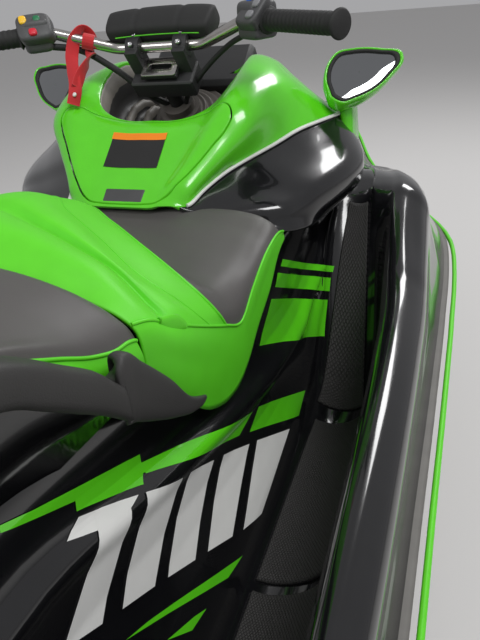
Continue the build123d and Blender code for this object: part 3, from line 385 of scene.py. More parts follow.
def diamond_bump(material, pitch, depth):
    """Raised diamonds from the piece's along and across marks, in millimetres.

    Height = the lesser of two triangle waves, one on along plus across, one on their difference.
    """
    tree = material.node_tree

    def maths(operation, *values):
        return add_node(tree, "Math", "Value", dict(enumerate(values)), operation=operation)

    along, across = (add_node(tree, "Attribute", "Fac", attribute_name=name) for name in ("along", "across"))
    wide = maths("MULTIPLY", across, 1.7)
    waves = [maths("PINGPONG", maths(sign, along, wide), pitch) for sign in ("ADD", "SUBTRACT")]
    height = maths("MINIMUM", maths("MINIMUM", *waves), pitch * 0.45)
    bump = add_node(tree, "Bump", "Normal", {"Height": height, "Strength": 1.0, "Distance": depth * MM})
    feed(tree, tree.nodes["Principled BSDF"], {"Normal": bump})


def painted(piece, material):
    """Give a piece one finish."""
    piece.data.materials.clear()
    piece.data.materials.append(material)


def seat(piece, body, key, replaces=()):
    """Set a piece on its body, with its finish and the nodes it stands for."""
    painted(piece, finish_table()[key])
    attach(piece, body)
    if replaces:
        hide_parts(*replaces)


def moulded(node, name, width):
    """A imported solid's copy, its doubles merged and its edges rounded by width millimetres."""
    piece = bpy.data.objects.new(name, NODES[node].data.copy())
    bpy.context.scene.collection.objects.link(piece)
    piece.data.materials.clear()
    tidy_mesh(piece, 0.05)
    modified(piece, "DECIMATE", decimate_type="DISSOLVE", angle_limit=math.radians(2))
    return by_angle(soften(piece, width, 3, 25), 40)


class WatercraftLook(bpy.types.PropertyGroup):
    """Colours and trim sizes of the craft."""
    green: bpy.props.FloatVectorProperty(
        name="Body green", description="Painted and moulded green", subtype="COLOR",
        default=(0.10, 0.60, 0.012), min=0, max=1)
    black: bpy.props.FloatVectorProperty(
        name="Gloss black", description="Hull and deck moulding", subtype="COLOR",
        default=(0.006, 0.006, 0.007), min=0, max=1)
    seat_grey: bpy.props.FloatVectorProperty(
        name="Seat grey", description="Grey seat cover", subtype="COLOR",
        default=(0.075, 0.07, 0.068), min=0, max=1)
    piping: bpy.props.FloatProperty(
        name="Piping", description="Thickness of the seat's seam piping", default=0.0045,
        min=0.001, max=0.02, unit="LENGTH")


class WatercraftStage(bpy.types.PropertyGroup):
    """The studio round the craft."""
    floor_height: bpy.props.FloatProperty(
        name="Floor height", description="Height of the studio floor", default=-0.314, unit="LENGTH")
    key_power: bpy.props.FloatProperty(
        name="Key light", description="Power of the large overhead light", default=120.0, min=0)


MATERIALS = {}


def look():
    """The scene's look settings."""
    return bpy.context.scene.watercraft_look


def finish_table():
    """Every finish of the craft by its name, made once."""
    if MATERIALS:
        return MATERIALS
    s = look()
    green, black = tuple(s.green), tuple(s.black)
    rows = {
        "green_gloss": dict(colour=green, rough=0.22, coat=0.5, mottle=0.03),
        "black_gloss": dict(colour=black, rough=0.16, coat=0.6, mottle=0.1),
        "green_trim": dict(colour=green, rough=0.45, mottle=0.05),
        "rubber_grey": dict(colour=(0.14, 0.135, 0.125), rough=0.6, mottle=0.1, grain=0.3, grain_size=400),
        "seat_grey": dict(colour=tuple(s.seat_grey), rough=0.62, mottle=0.07, grain=0.5, grain_size=900),
        "handle_grey": dict(colour=(0.03, 0.029, 0.028), rough=0.55, grain=0.5, grain_size=700),
        "dark_plastic": dict(colour=(0.018, 0.018, 0.019), rough=0.5, grain=0.4, grain_size=700),
        "housing_grey": dict(colour=(0.06, 0.06, 0.062), rough=0.5, grain=0.4, grain_size=700),
        "soft_black": dict(colour=(0.012, 0.012, 0.012), rough=0.7, grain=0.6, grain_size=500),
        "bellows": dict(colour=(0.10, 0.09, 0.08), rough=0.6, grain=0.3),
        "bar_metal": dict(colour=(0.52, 0.50, 0.48), rough=0.22, metal=1.0, mottle=0.04),
        "mirror_pane": dict(colour=(0.30, 0.31, 0.32), rough=0.02, metal=1.0, mottle=0.01),
        "mat_grey": dict(colour=(0.045, 0.043, 0.042), rough=0.75, grain=0.5, grain_size=500),
        "cast_alloy": dict(colour=(0.55, 0.55, 0.56), rough=0.42, metal=1.0, grain=0.4, grain_size=400),
        "steel": dict(colour=(0.6, 0.6, 0.61), rough=0.28, metal=1.0),
        "engine_grey": dict(colour=(0.07, 0.07, 0.075), rough=0.6, metal=0.3, grain=0.6, grain_size=200),
        "webbing": dict(colour=(0.5, 0.01, 0.015), rough=0.75, grain=0.8, grain_size=900, sheen=0.3),
        "white_trim": dict(colour=(0.72, 0.72, 0.70), rough=0.35, mottle=0.02),
        "label_black": dict(colour=(0.015, 0.015, 0.015), rough=0.4, mottle=0.05),
        "label_orange": dict(colour=(0.85, 0.23, 0.01), rough=0.4, mottle=0.02),
        "key_yellow": dict(colour=(0.85, 0.50, 0.02), rough=0.4, mottle=0.02),
        "key_green": dict(colour=(0.01, 0.16, 0.06), rough=0.4, mottle=0.02),
        "key_red": dict(colour=(0.6, 0.01, 0.03), rough=0.4, mottle=0.02),
        "key_blue": dict(colour=(0.02, 0.12, 0.5), rough=0.4, mottle=0.02),
        "key_grey": dict(colour=(0.2, 0.2, 0.21), rough=0.45, mottle=0.03),
    }
    for name, row in rows.items():
        MATERIALS[name] = finish(name, **row)
    MATERIALS["seat_cover"] = two_tone("seat_cover", tuple(s.seat_grey), colour=green, rough=0.5,
                                       mottle=0.03, grain=0.35, grain_size=900)
    # Steering well liner: its tan is painted light on the fold crests, its near black painted shade in the
    # deep folds
    MATERIALS["well_boot_painted_light"] = two_tone("well_boot_painted_light", (0.16, 0.145, 0.125), colour=(0.02, 0.019, 0.018),
                                      rough=0.5, mottle=0.08, grain=0.3)
    diamond_bump(MATERIALS["mat_grey"], 4.0, 1.6)
    return MATERIALS


NODE_FINISH = {
    "black_gloss": ("hull", "deck", "gunwale_port", "gunwale_starboard", "fairing_port", "fairing_starboard"),
    "green_gloss": ("console", "hood", "storage_lid", "mirror_port", "mirror_starboard"),
    "green_trim": ("rail_bead",),
    "rubber_grey": ("rub_rail",),
    "seat_grey": ("front_seat", "rear_seat"),
    "handle_grey": ("grab_rail",),
    "dark_plastic": ("bow_bin", "instrument_pod", "sponsons", "drain_plugs", "fuel_cap", "steering_head",
                     "throttle_lever", "lid_latch"),
    "bellows": ("steering_column",),
    "mirror_pane": ("mirror_glass_port", "mirror_glass_starboard"),
    "mat_grey": ("mat_port", "mat_starboard", "stern_mat"),
    "cast_alloy": ("jet_pump", "ride_plate", "intake_grate", "nozzle", "reverse_bucket"),
    "engine_grey": ("engine",),
    "steel": ("hood_hinge", "bow_eye", "stern_eyes", "step_brackets", "impeller", "boarding_step"),
    "bar_metal": ("handlebar",),
    "soft_black": ("bar_pad", "grip_port", "grip_starboard"),
    "housing_grey": ("switch_housing_port", "switch_housing_starboard"),
    "webbing": ("tether_ring",),
}


# Deck moulding, port half, in millimetres. Each row is one station along the boat:
# x, top_y, top_z, crease_z, foot_y, floor_z, out_y, lip_y, lip_z, rim_y, rim_z, bond_y, bond_z
DECK_TABLE = [
    (-1650, 205, 128, 128, 280, 128, 404, 440, 232, 478, 226, 520, 168),
    (-1194, 205, 128, 128, 280, 128, 430, 478, 284, 512, 274, 543, 178),
    (-1180, 205, 520, 330, 280, 128, 431, 479, 285, 513, 275, 544, 178),
    (-1140, 208, 524, 345, 284, 126, 432, 481, 288, 516, 278, 546, 179),
    (-960, 225, 541, 385, 304, 57, 440, 490, 304, 526, 296, 555, 184),
    (-700, 245, 540, 425, 320, 55, 442, 488, 322, 532, 314, 562, 190),
    (-541, 250, 505, 372, 322, 55, 444, 486, 332, 535, 323, 564, 193),
    (-332, 256, 462, 305, 322, 55, 446, 484, 338, 536, 330, 564, 196),
    (-100, 266, 444, 250, 319, 55, 444, 478, 344, 534, 336, 565, 201),
    (40, 270, 442, 236, 317, 57, 440, 470, 350, 530, 341, 565, 206),
    (78, 271, 442, 240, 317, 70, 438, 466, 356, 527, 345, 565, 207),
    (125, 273, 442, 262, 317, 120, 433, 461, 369, 522, 356, 565, 208),
    (200, 276, 442, 300, 318, 238, 424, 452, 392, 514, 376, 564, 210),
    (310, 280, 442, 396, 322, 392, 402, 440, 432, 501, 420, 563, 212),
    (350, 281, 445, 430, 326, 436, 396, 436, 446, 496, 438, 562, 213),
    (400, 282, 449, 440, 330, 447, 392, 428, 448, 484, 440, 560, 215),
    (560, 262, 424, 420, 300, 418, 350, 390, 412, 440, 396, 542, 226),
    (800, 226, 362, 360, 250, 358, 266, 290, 354, 322, 344, 410, 247),
    (1050, 150, 345, 344, 165, 343, 180, 196, 342, 222, 334, 270, 268),
    (1350, 74, 345, 344, 88, 344, 100, 112, 344, 128, 339, 167, 297),
    (1560, 26, 348, 347, 36, 347, 46, 54, 347, 66, 342, 88, 316),
    (1650, 6, 350, 350, 10, 350, 16, 22, 350, 30, 347, 48, 325),
]
DECK_CORNERS = (1, 2)
# The moulding's end wall at the transom: its shift from the deck's edge, and its foot's height
DECK_END_SHIFT = (4, 0, -1)
DECK_END_FOOT = 112


def deck_grid(steps=5):
    """Deck skin from starboard bond line to port bond line.

    The table is smoothed along the boat; each station's profile then runs from the centreline
    over the pedestal's top, down its side with a crease, round the floor's fillet, across the
    floor, up the gunwale's inner wall, over its crown and down to the bond line.
    """
    t = through(DECK_TABLE, steps, DECK_CORNERS)
    x, ty, tz, cz, fy, fz, oy, ly, lz, ry, rz, by, bz = t.T
    tall = np.clip((tz - fz) / 120.0, 0, 1)
    deep = np.clip((lz - fz) / 200.0, 0, 1)
    crease_y = ty + (fy - ty) * np.clip((tz - cz) / np.maximum(tz - fz, 1), 0, 1)
    profile = [
        (0 * x, tz), (ty - 34, tz), (ty - 6, tz - 6 * tall), (ty + 3 * tall, tz - 26 * tall),
        (crease_y - 9 * tall, cz + 26 * tall), (crease_y + 7 * tall, cz),
        (crease_y + 3 * tall, cz - 26 * tall),
        (fy - 5 * tall, fz + 62 * tall), (fy + 5, fz + 20 * tall), (fy + 26 * tall + 4, fz),
        (oy - 30 * deep, fz), (oy - 2, fz + 24 * deep), (oy + (ly - oy) * 0.5, fz + (lz - fz) * 0.55),
        (ly - 7 * deep, lz - 26 * deep), (ly + 3, lz - 4 * deep), (ly + (ry - ly) * 0.35, lz + 3),
        (ry - 12, rz + 3), (ry + 3, rz - 8), (ry + (by - ry) * 0.45, rz - (rz - bz) * 0.42),
        (by - 4, bz + 20), (by, bz + 8),
    ]
    return crosswise(both_sides(stations(x, profile)), steps)


class WATERCRAFT_OT_deck(bpy.types.Operator):
    """Deck moulding with its footwells, pedestal and gunwales"""
    bl_idname = "watercraft.deck"
    bl_label = "Deck"

    def execute(self, context):
        grid = deck_grid()
        skin = by_angle(wall(grid_piece("deck_skin", grid), 5), 65)
        seat(skin, "watercraft", "black_gloss", ["deck", "gunwale_port", "gunwale_starboard"])
        rim = grid[0] + np.array(DECK_END_SHIFT)
        foot = rim * np.array([1, 1, 0]) + np.array([0, 0, DECK_END_FOOT])
        end = wall(grid_piece("deck_end", np.stack([rim, foot]), flip=True), 4)
        seat(end, "watercraft", "black_gloss")
        return {"FINISHED"}


# Cowl over the steering, port half. Each row is one station:
# x, crown_z, label_y, crest_y, crest_z, shoulder_y, shoulder_z, stripe_y, stripe_z,
# bulge_y, bulge_z, hem_y, hem_z
COWL_TABLE = [
    (-52, 532, 56, 74, 534, 96, 533, 113, 530, 117, 522, 119, 512),
    (-20, 555, 58, 96, 564, 122, 554, 126, 529, 190, 510, 240, 492),
    (20, 580, 60, 124, 598, 152, 584, 142, 545, 285, 506, 300, 470),
    (60, 609, 62, 150, 636, 184, 618, 166, 561, 312, 508, 322, 462),
    (100, 637, 66, 172, 676, 212, 654, 200, 576, 336, 516, 330, 458),
    (155, 652, 70, 176, 700, 222, 676, 236, 588, 362, 520, 340, 455),
    (211, 668, 74, 168, 712, 226, 694, 268, 600, 380, 522, 348, 452),
    (265, 680, 74, 158, 722, 230, 696, 300, 604, 386, 526, 356, 450),
    (320, 690, 74, 150, 726, 232, 684, 322, 603, 376, 530, 352, 448),
    (390, 672, 72, 140, 704, 220, 652, 316, 590, 346, 520, 326, 446),
    (450, 640, 70, 130, 668, 200, 612, 280, 566, 300, 500, 290, 442),
]
COWL_STRIPE_COLUMN = 6
# The console's rear corner is drawn in: by how much, and over which reach along and outwards
CORNER_IN = 14
CORNER_X, CORNER_X_REACH = -20, 32
CORNER_Y, CORNER_Y_REACH = 60, 50


def cowl_rows():
    """Cowl table turned into rows of points from the centreline to the fairing's hem."""
    t = through(COWL_TABLE, 3)
    x, kz, ly, cy, cz, sy, sz, py, pz, by, bz, hy, hz = t.T
    profile = [
        (0 * x, kz), (ly * 0.6, kz), (ly + (cy - ly) * 0.45, kz + (cz - kz) * 0.32), (cy, cz),
        (cy + (sy - cy) * 0.55, cz - (cz - sz) * 0.28), (sy, sz), (py, pz),
        (py + (by - py) * 0.5, pz - (pz - bz) * 0.42), (by, bz),
        (by + (hy - by) * 0.2 + 3, bz - (bz - hz) * 0.5), (hy, hz),
    ]
    rows = stations(x, profile)
    aft = np.clip((CORNER_X - rows[..., 0]) / CORNER_X_REACH, 0, 1)
    rows[..., 0] += CORNER_IN * (aft * np.clip((rows[..., 1] - CORNER_Y) / CORNER_Y_REACH, 0, 1))
    return rows


# Starboard halves, in plan, of the steering well's outline and the lid's
WELL_OUTLINE = [(120, 0), (120, -62), (126, -90), (148, -126), (200, -146), (262, -150), (330, -136),
                (354, -100), (358, 0)]
LID_OUTLINE = [(-47, 0), (-46, -44), (-43, -68), (-34, -86), (-14, -108), (18, -135), (48, -158), (68, -174),
               (82, -181), (93, -177), (103, -164), (111, -146), (115, -126), (117, -104), (117, -82),
               (116, -60), (115, 0)]
# Gap round the lid, the heights to which the cutters reach, and where the plate falls from
LID_GAP = 1.5
WELL_CUT_LOW, LID_CUT_LOW, CUT_TOP = 500, 480, 900
LABEL_START = 900.0
# Liner of the steering well: its start below the rim, its middle, and its ridges, each with the
# share of the outline's width, the depth and 1 where it is tan, painted light on the rim and the
# shallow crests, or -1 where it is black, painted shade in the deep folds
WELL_DROP = 5
WELL_MIDDLE = np.array([238.0, 0.0])
WELL_RIDGES = [
    (1.03, 0, 1), (0.99, 1, 1), (0.975, 5, 1), (0.93, 22, 1), (0.915, 40, -1), (0.86, 80, -1),
    (0.80, 84, -1), (0.775, 72, 1), (0.73, 70, 1), (0.69, 76, 1), (0.67, 92, -1), (0.6, 98, -1),
    (0.56, 94, -1), (0.54, 82, 1), (0.49, 80, 1), (0.45, 88, 1), (0.43, 104, -1), (0.2, 108, -1),
]
# Blank plate on the lid and its band: name, finish, lift, corners as x and y, points each way
LABELS = (
    ("label_plate", "label_black", 0.8, ((83, 66), (21, 66), (21, -48), (83, -48)), (13, 25)),
    ("label_top_band", "label_orange", 1.2, ((84, 67), (72, 67), (72, -49), (84, -49)), (4, 25)),
)


def round_outline(points):
    """Closed outline in plan from its starboard half, smoothed and mirrored to port."""
    half = through(points, 6)
    other = half[-2:0:-1] * np.array([1, -1])
    return np.concatenate([half, other])


def stretched(outline, d):
    """Outline moved outwards by d along its own normals."""
    step = np.roll(outline, -1, 0) - np.roll(outline, 1, 0)
    normal = unit(np.stack([step[:, 1], -step[:, 0]], 1))
    area = (outline[:, 0] * np.roll(outline[:, 1], -1) - np.roll(outline[:, 0], -1) * outline[:, 1]).sum()
    return outline + normal * (d if area > 0 else -d)


class WATERCRAFT_OT_cowl(bpy.types.Operator):
    """Green console, its lid, and the black fairings with their white line"""
    bl_idname = "watercraft.cowl"
    bl_label = "Console and fairings"

    def execute(self, context):
        rows = cowl_rows()
        green = through(crosswise(both_sides(rows[:, :COWL_STRIPE_COLUMN + 1]), 8), 2)
        console = wall(grid_piece("console_skin", green), 6)
        rim, outline = round_outline(WELL_OUTLINE), round_outline(LID_OUTLINE)
        cut(console, prism("well_cutter", rim, WELL_CUT_LOW, CUT_TOP))
        lid = bpy.data.objects.new("lid_skin", console.data.copy())
        bpy.context.scene.collection.objects.link(lid)
        cut(lid, prism("lid_cutter", stretched(outline, -LID_GAP), LID_CUT_LOW, CUT_TOP), "INTERSECT")
        cut(console, prism("lid_room", stretched(outline, LID_GAP), LID_CUT_LOW, CUT_TOP))
        for piece in (console, lid):
            by_angle(soften(piece, 1.6, 2, 50), 40)
        seat(console, "watercraft", "green_gloss", ["console"])
        seat(lid, "glove_lid", "green_gloss", ["storage_lid"])
        skin = green.reshape(-1, 3)
        nearest = ((rim[:, None] - skin[None, :, :2]) ** 2).sum(-1).argmin(1)
        top = skin[nearest, 2] - WELL_DROP
        liner = grid_piece("well_liner", through([
            np.column_stack([WELL_MIDDLE + (rim - WELL_MIDDLE) * size, top - sink])
            for size, sink, _ in WELL_RIDGES], 3), wrap=True)
        # The liner's mark is 1 on the rim and shallow crests, painted light in tan, and -1 in the deep folds,
        # painted shade in black
        tan = through([[ridge[2]] for ridge in WELL_RIDGES], 3)
        mark(liner, "panel_and_painted_light", np.repeat(tan[:, 0], len(rim)))
        seat(liner, "watercraft", "well_boot_painted_light")
        for name, key, lift, corners, steps in LABELS:
            seat(film(name, corners, lift, lid, 2, LABEL_START, steps), "glove_lid", key)
        black = through(crosswise(rows[:, COWL_STRIPE_COLUMN:], 6), 2)
        for side, name in SIDES:
            skin = black * np.array([1, side, 1])
            fairing = wall(grid_piece(f"fairing_skin_{name}", skin, flip=side < 0), 5)
            seat(fairing, "watercraft", "black_gloss", [f"fairing_{name}"])
            line = skin[4:, 0] + np.array([-0.8, side * 1.2, 1.6])
            stripe = swept(f"white_line_{name}", line, rounded(9, 5.5, 2.2, 3))
            seat(stripe, "watercraft", "white_trim")
        return {"FINISHED"}


# Front seat, port half. Rows run from the front lip aft to the split; each row gives the centreline,
# four points across the top, the rolled edge, the piping, the skirt and its hem.
FRONT_SEAT = [
    [(1, 0, 474), (1, 95, 474), (0, 170, 473), (-1, 225, 472), (-5, 262, 470), (-9, 280, 470), (4, 289, 476),
     (3, 291, 469), (1, 292, 463)],
    [(-6, 0, 517), (-6, 95, 517), (-7, 170, 517), (-9, 228, 513), (-15, 264, 505), (-20, 284, 493),
     (-18, 290, 484), (-22, 291, 468), (-26, 291, 454)],
    [(-60, 0, 518), (-62, 95, 517), (-66, 170, 515), (-72, 225, 510), (-82, 262, 503), (-92, 284, 494),
     (-100, 291, 483), (-100, 292, 446), (-99, 292, 412)],
    [(-105, 0, 519), (-125, 95, 515), (-150, 170, 508), (-165, 228, 500), (-172, 266, 490), (-176, 286, 476),
     (-180, 292, 459), (-177, 292, 418), (-173, 291, 378)],
    [(-138, 0, 535), (-185, 95, 530), (-232, 170, 522), (-254, 230, 508), (-250, 268, 490), (-243, 287, 464),
     (-239, 292, 435), (-230, 293, 393), (-221, 291, 352)],
    [(-162, 0, 577), (-229, 97, 580), (-280, 170, 571), (-309, 233, 547), (-316, 270, 520), (-310, 288, 492),
     (-296, 292, 463), (-284, 294, 400), (-271, 291, 340)],
    [(-225, 0, 615), (-288, 70, 620), (-337, 150, 602), (-372, 222, 572), (-366, 262, 541), (-355, 284, 512),
     (-342, 291, 490), (-330, 294, 420), (-318, 290, 346)],
    [(-290, 0, 645), (-330, 80, 636), (-362, 150, 616), (-388, 218, 584), (-394, 252, 561), (-391, 276, 540),
     (-390, 287, 520), (-378, 292, 448), (-362, 287, 366)],
    [(-342, 0, 650), (-366, 80, 640), (-386, 150, 622), (-402, 212, 596), (-411, 246, 568), (-418, 268, 552),
     (-424, 280, 542), (-420, 288, 482), (-412, 284, 412)],
    [(-420, 0, 651), (-430, 85, 643), (-440, 155, 626), (-448, 212, 604), (-453, 244, 589), (-456, 264, 575),
     (-458, 272, 567), (-454, 281, 510), (-449, 278, 450)],
    [(-477, 0, 634), (-477, 92, 626), (-477, 158, 612), (-477, 208, 597), (-477, 238, 588), (-477, 254, 580),
     (-477, 264, 572), (-477, 272, 520), (-477, 268, 470)],
]
FRONT_EDGE_ROW = 5
STITCH_ROW = 6
DEEP_SEAM_ROW = 8
PIPING_COLUMN = 6
HALF_COLUMNS = 8
FRONT_STEPS = (9, 8)
REAR_STEPS = (6, 6)
STITCH_SHARE = 0.45
# Rows between which the pipings and the skirt's tabs run
SKIRT_ROWS = (0, 10)
REAR_ROWS = (1, 13)
TAB_ROWS = (7, 9)

# Rear seat: x, crown_z, edge_y, edge_z, hem_z
REAR_SEAT = [
    (-478.5, 606, 262, 548, 505), (-480, 630, 264, 562, 505), (-490, 642, 263, 567, 508),
    (-516, 650, 261, 572, 515), (-540, 655, 256, 581, 530), (-590, 661, 249, 611, 568),
    (-640, 666, 243, 638, 604), (-700, 668, 238, 648, 616), (-800, 668, 233, 646, 616),
    (-930, 660, 224, 634, 604), (-1040, 640, 212, 610, 580), (-1100, 616, 198, 588, 560),
    (-1136, 584, 182, 564, 536), (-1150, 552, 168, 540, 514), (-1152, 516, 160, 512, 500),
]


def rear_rows():
    """Rear seat's table as rows of points; the top falls from crown to edge on a rounded curve."""
    x, kz, ey, ez, hz = np.array(REAR_SEAT, float).T
    drop = kz - ez
    profile = [(0 * x, kz), (ey * 0.35, kz - 0.05 * drop), (ey * 0.62, kz - 0.2 * drop),
               (ey * 0.82, kz - 0.45 * drop), (ey * 0.94, kz - 0.72 * drop), (ey - 2, ez + 6),
               (ey + 4, ez - 8), (ey + 9, (ez + hz) / 2), (ey + 6, hz)]
    return stations(x, profile)


def seat_skin(name, rows, steps, grey_rows, groove_row=None):
    """Seat cover from its half table, with its two-colour panel marks and a sunk seam.

    The seam sinks the surface by 11 mm times a bell curve across the seam's row; panel is above
    nought where the cover is grey: before the given row and inside the piping.
    """
    grid = net(both_sides(rows), *steps)
    u = (np.arange(grid.shape[0]) / steps[0])[:, None]
    v = np.abs(np.arange(grid.shape[1]) / steps[1] - HALF_COLUMNS)[None]
    if groove_row is not None:
        sunk = 11 * np.exp(-((u - groove_row) / 0.22) ** 2) * np.clip((PIPING_COLUMN - 0.2 - v) / 1.2, 0, 1)
        swell = 5 * np.exp(-((u - groove_row - 0.8) / 0.4) ** 2) * np.clip((PIPING_COLUMN - 1 - v) / 2, 0, 1)
        grid[..., 2] += swell - sunk
    cover = grid_piece(name, grid, flip=True)
    return mark(cover, "panel_and_painted_light", np.minimum(grey_rows - u, PIPING_COLUMN - v)), grid


def line_across(grid, steps, row):
    """Points of a seat grid along one row, between its two pipings."""
    return grid[row * steps[0], (HALF_COLUMNS - PIPING_COLUMN) * steps[1]:
                (HALF_COLUMNS + PIPING_COLUMN) * steps[1] + 1]


def line_along(grid, steps, side, first, last):
    """Points of a seat grid along the piping of one side, from one row to another."""
    return grid[first * steps[0]:last * steps[0] + 1, (HALF_COLUMNS + side * PIPING_COLUMN) * steps[1]]


class WATERCRAFT_OT_seats(bpy.types.Operator):
    """Front and rear seat covers with their piping, sunk seam and skirt"""
    bl_idname = "watercraft.seats"
    bl_label = "Seats"

    def execute(self, context):
        bead = look().piping / MM / 2
        front, grid = seat_skin("front_seat_cover", FRONT_SEAT, FRONT_STEPS, FRONT_EDGE_ROW, DEEP_SEAM_ROW)
        rear, back = seat_skin("rear_seat_cover", rear_rows(), REAR_STEPS, 99)
        for cover, node in ((front, "front_seat"), (rear, "rear_seat")):
            wall(cover, 6)
            seat(cover, "watercraft", "seat_cover", [node])
        x, _, ey, _, hz = through(REAR_SEAT, 6).T
        base_rows = stations(x, ((ey + 8, hz + 8), (ey + 9, hz + 1), (ey + 8, hz * 0.6 + 200),
                                 (ey + 6, 0 * hz + 498)))
        for side, name in SIDES:
            base = grid_piece(f"seat_base_{name}", base_rows * np.array([1, side, 1]), flip=side > 0)
            seat(wall(base, 5), "watercraft", "black_gloss")
        cords = [(line_across(grid, FRONT_STEPS, FRONT_EDGE_ROW), bead, "front_edge"),
                 (line_across(grid, FRONT_STEPS, STITCH_ROW), bead * STITCH_SHARE, "stitch_line")]
        for side, name in SIDES:
            cords.append((line_along(grid, FRONT_STEPS, side, *SKIRT_ROWS), bead, f"skirt_{name}"))
            cords.append((line_along(back, REAR_STEPS, side, *REAR_ROWS), bead, f"rear_{name}"))
        for line, radius, name in cords:
            seat(swept(f"piping_{name}", line, circle(radius, 10)), "watercraft", "green_trim")
        for side, name in SIDES:
            line = line_along(grid, FRONT_STEPS, side, *TAB_ROWS)[2:15]
            t = np.linspace(0, 1, len(line))
            swell = np.stack([np.full(len(line), 0.7), 0.9 + 2.0 * np.sin(np.pi * t)], 1)
            tab = swept(f"skirt_tab_{name}", line, circle(4.5, 12), scale=swell)
            seat(tab, "watercraft", "green_trim")
        return {"FINISHED"}


# Bands on the pedestal's sides: colour and four corners as x and z, fore top, aft top, aft low, fore low
BANDS = [
    ("green", (17, 112), (-203, 242), (-249, 225), (-49, 99)),
    ("green", (-230, 254), (-515, 404), (-514, 388), (-287, 251)),
    ("green", (-510, 414), (-702, 512), (-704, 506), (-514, 390)),
    ("green", (-511, 397), (-618, 466), (-624, 444), (-529, 386)),
    ("green", (-399, 111), (-603, 240), (-640, 260), (-450, 125)),
    ("green", (-515, 145), (-539, 162), (-594, 193), (-554, 155)),
    ("green", (232, 298), (33, 406), (15, 400), (224, 287)),
    ("green", (215, 277), (-6, 397), (-33, 382), (199, 252)),
    ("green", (188, 236), (-53, 368), (-128, 315), (147, 166)),
    ("white", (-545, 387), (-625, 437), (-652, 434), (-585, 392)),
    ("white", (-560, 396), (-605, 424), (-705, 343), (-655, 311)),
    ("white", (-465, 337), (-535, 381), (-625, 293), (-570, 259)),
    ("white", (-375, 281), (-442, 323), (-545, 243), (-490, 209)),
    ("white", (-262, 211), (-345, 263), (-462, 192), (-402, 155)),
    ("white", (-112, 118), (-235, 195), (-372, 136), (-308, 103)),
]
# How far out the bands fall from, clear of the gunwale's inner wall, and how they lie over the
# deck and over each other
BAND_START = 361.0
BAND_LIFT, BAND_LIFT_STEP = 0.7, 0.3


def film(name, corners, lift, ground, axis, start, steps):
    """Film on a moulding: a bilinear patch between four corners, dropped along an axis on to it.

    The corners lie on the two other axes; start is the side or height the patch falls from, and
    the along and across marks are distances in millimetres on the patch.
    """
    a, b, c, d = (np.array(k, float) for k in corners)
    u = np.linspace(0, 1, steps[0])[:, None, None]
    v = np.linspace(0, 1, steps[1])[None, :, None]
    flat = (a * (1 - u) + b * u) * (1 - v) + (d * (1 - u) + c * u) * v
    grid = np.insert(flat, axis, start, axis=2)
    face = np.cross(grid[1, 0] - grid[0, 0], grid[0, 1] - grid[0, 0])[axis]
    patch = grid_piece(name, grid, flip=(face > 0) != (start > 0))
    mark(patch, "along", u[..., 0] * np.linalg.norm(b - a) + 0 * v[..., 0])
    mark(patch, "across", v[..., 0] * np.linalg.norm(d - a) + 0 * u[..., 0])
    modified(patch, "SHRINKWRAP", wrap_method="PROJECT", use_project_x=False, use_project_y=axis == 1,
             use_project_z=axis == 2, use_positive_direction=start < 0, use_negative_direction=start > 0,
             target=ground)
    return modified(patch, "DISPLACE", strength=lift * MM, mid_level=0)


class WATERCRAFT_OT_bands(bpy.types.Operator):
    """Green bands and plain white bars on both sides of the pedestal"""
    bl_idname = "watercraft.bands"
    bl_label = "Side bands"

    def execute(self, context):
        ground = bpy.data.objects["deck_skin"]
        for side, where in SIDES:
            for colour, key in (("green", "green_gloss"), ("white", "white_trim")):
                films = [film(f"band_{k}", row[1:], BAND_LIFT + BAND_LIFT_STEP * (k % 4), ground, 1,
                              side * BAND_START, (61, 21))
                         for k, row in enumerate(BANDS) if row[0] == colour]
                seat(joined(f"{colour}_bands_{where}", films), "watercraft", key)
        return {"FINISHED"}


# Footwell mats: four corners as x and y on the port side, the last one on the toe-board
FLOOR_MATS = [((12, 438), (-370, 444), (-404, 337), (-8, 337)),
              ((-390, 444), (-926, 438), (-926, 337), (-424, 337)),
              ((330, 390), (42, 432), (42, 331), (330, 346))]
STERN_MAT = ((-1216, 412), (-1638, 402), (-1638, -402), (-1216, -412))
MAT_THICK = 5.5
MAT_START = 700.0


def mat_piece(name, corners, ground, steps=(61, 21)):
    """Mat with its field sunk 1.2 mm inside a plain border."""
    mat = film(name, corners, MAT_THICK, ground, 2, MAT_START, steps)
    co = vertices_of(mat)
    u = np.repeat(np.linspace(0, 1, steps[0]), steps[1])
    v = np.tile(np.linspace(0, 1, steps[1]), steps[0])
    inset = np.minimum(np.minimum(u, 1 - u) * steps[0], np.minimum(v, 1 - v) * steps[1])
    co[:, 2] -= 1.2 * np.clip(inset - 1.2, 0, 1) + 1.5 * (inset < 0.5)
    put_vertices(mat, co)
    return wall(mat, 6)


class WATERCRAFT_OT_mats(bpy.types.Operator):
    """Traction mats in the footwells, on the toe-boards and on the stern platform"""
    bl_idname = "watercraft.mats"
    bl_label = "Mats"

    def execute(self, context):
        ground = bpy.data.objects["deck_skin"]
        for side, where in SIDES:
            mats = [mat_piece(f"mat_{k}", [(x, side * y) for x, y in row], ground)
                    for k, row in enumerate(FLOOR_MATS)]
            mats = joined(f"footwell_mats_{where}", mats)
            seat(mats, "watercraft", "mat_grey", [f"mat_{where}"])
        stern = mat_piece("stern_mat_skin", STERN_MAT, ground, (61, 81))
        seat(stern, "watercraft", "mat_grey", ["stern_mat"])
        return {"FINISHED"}


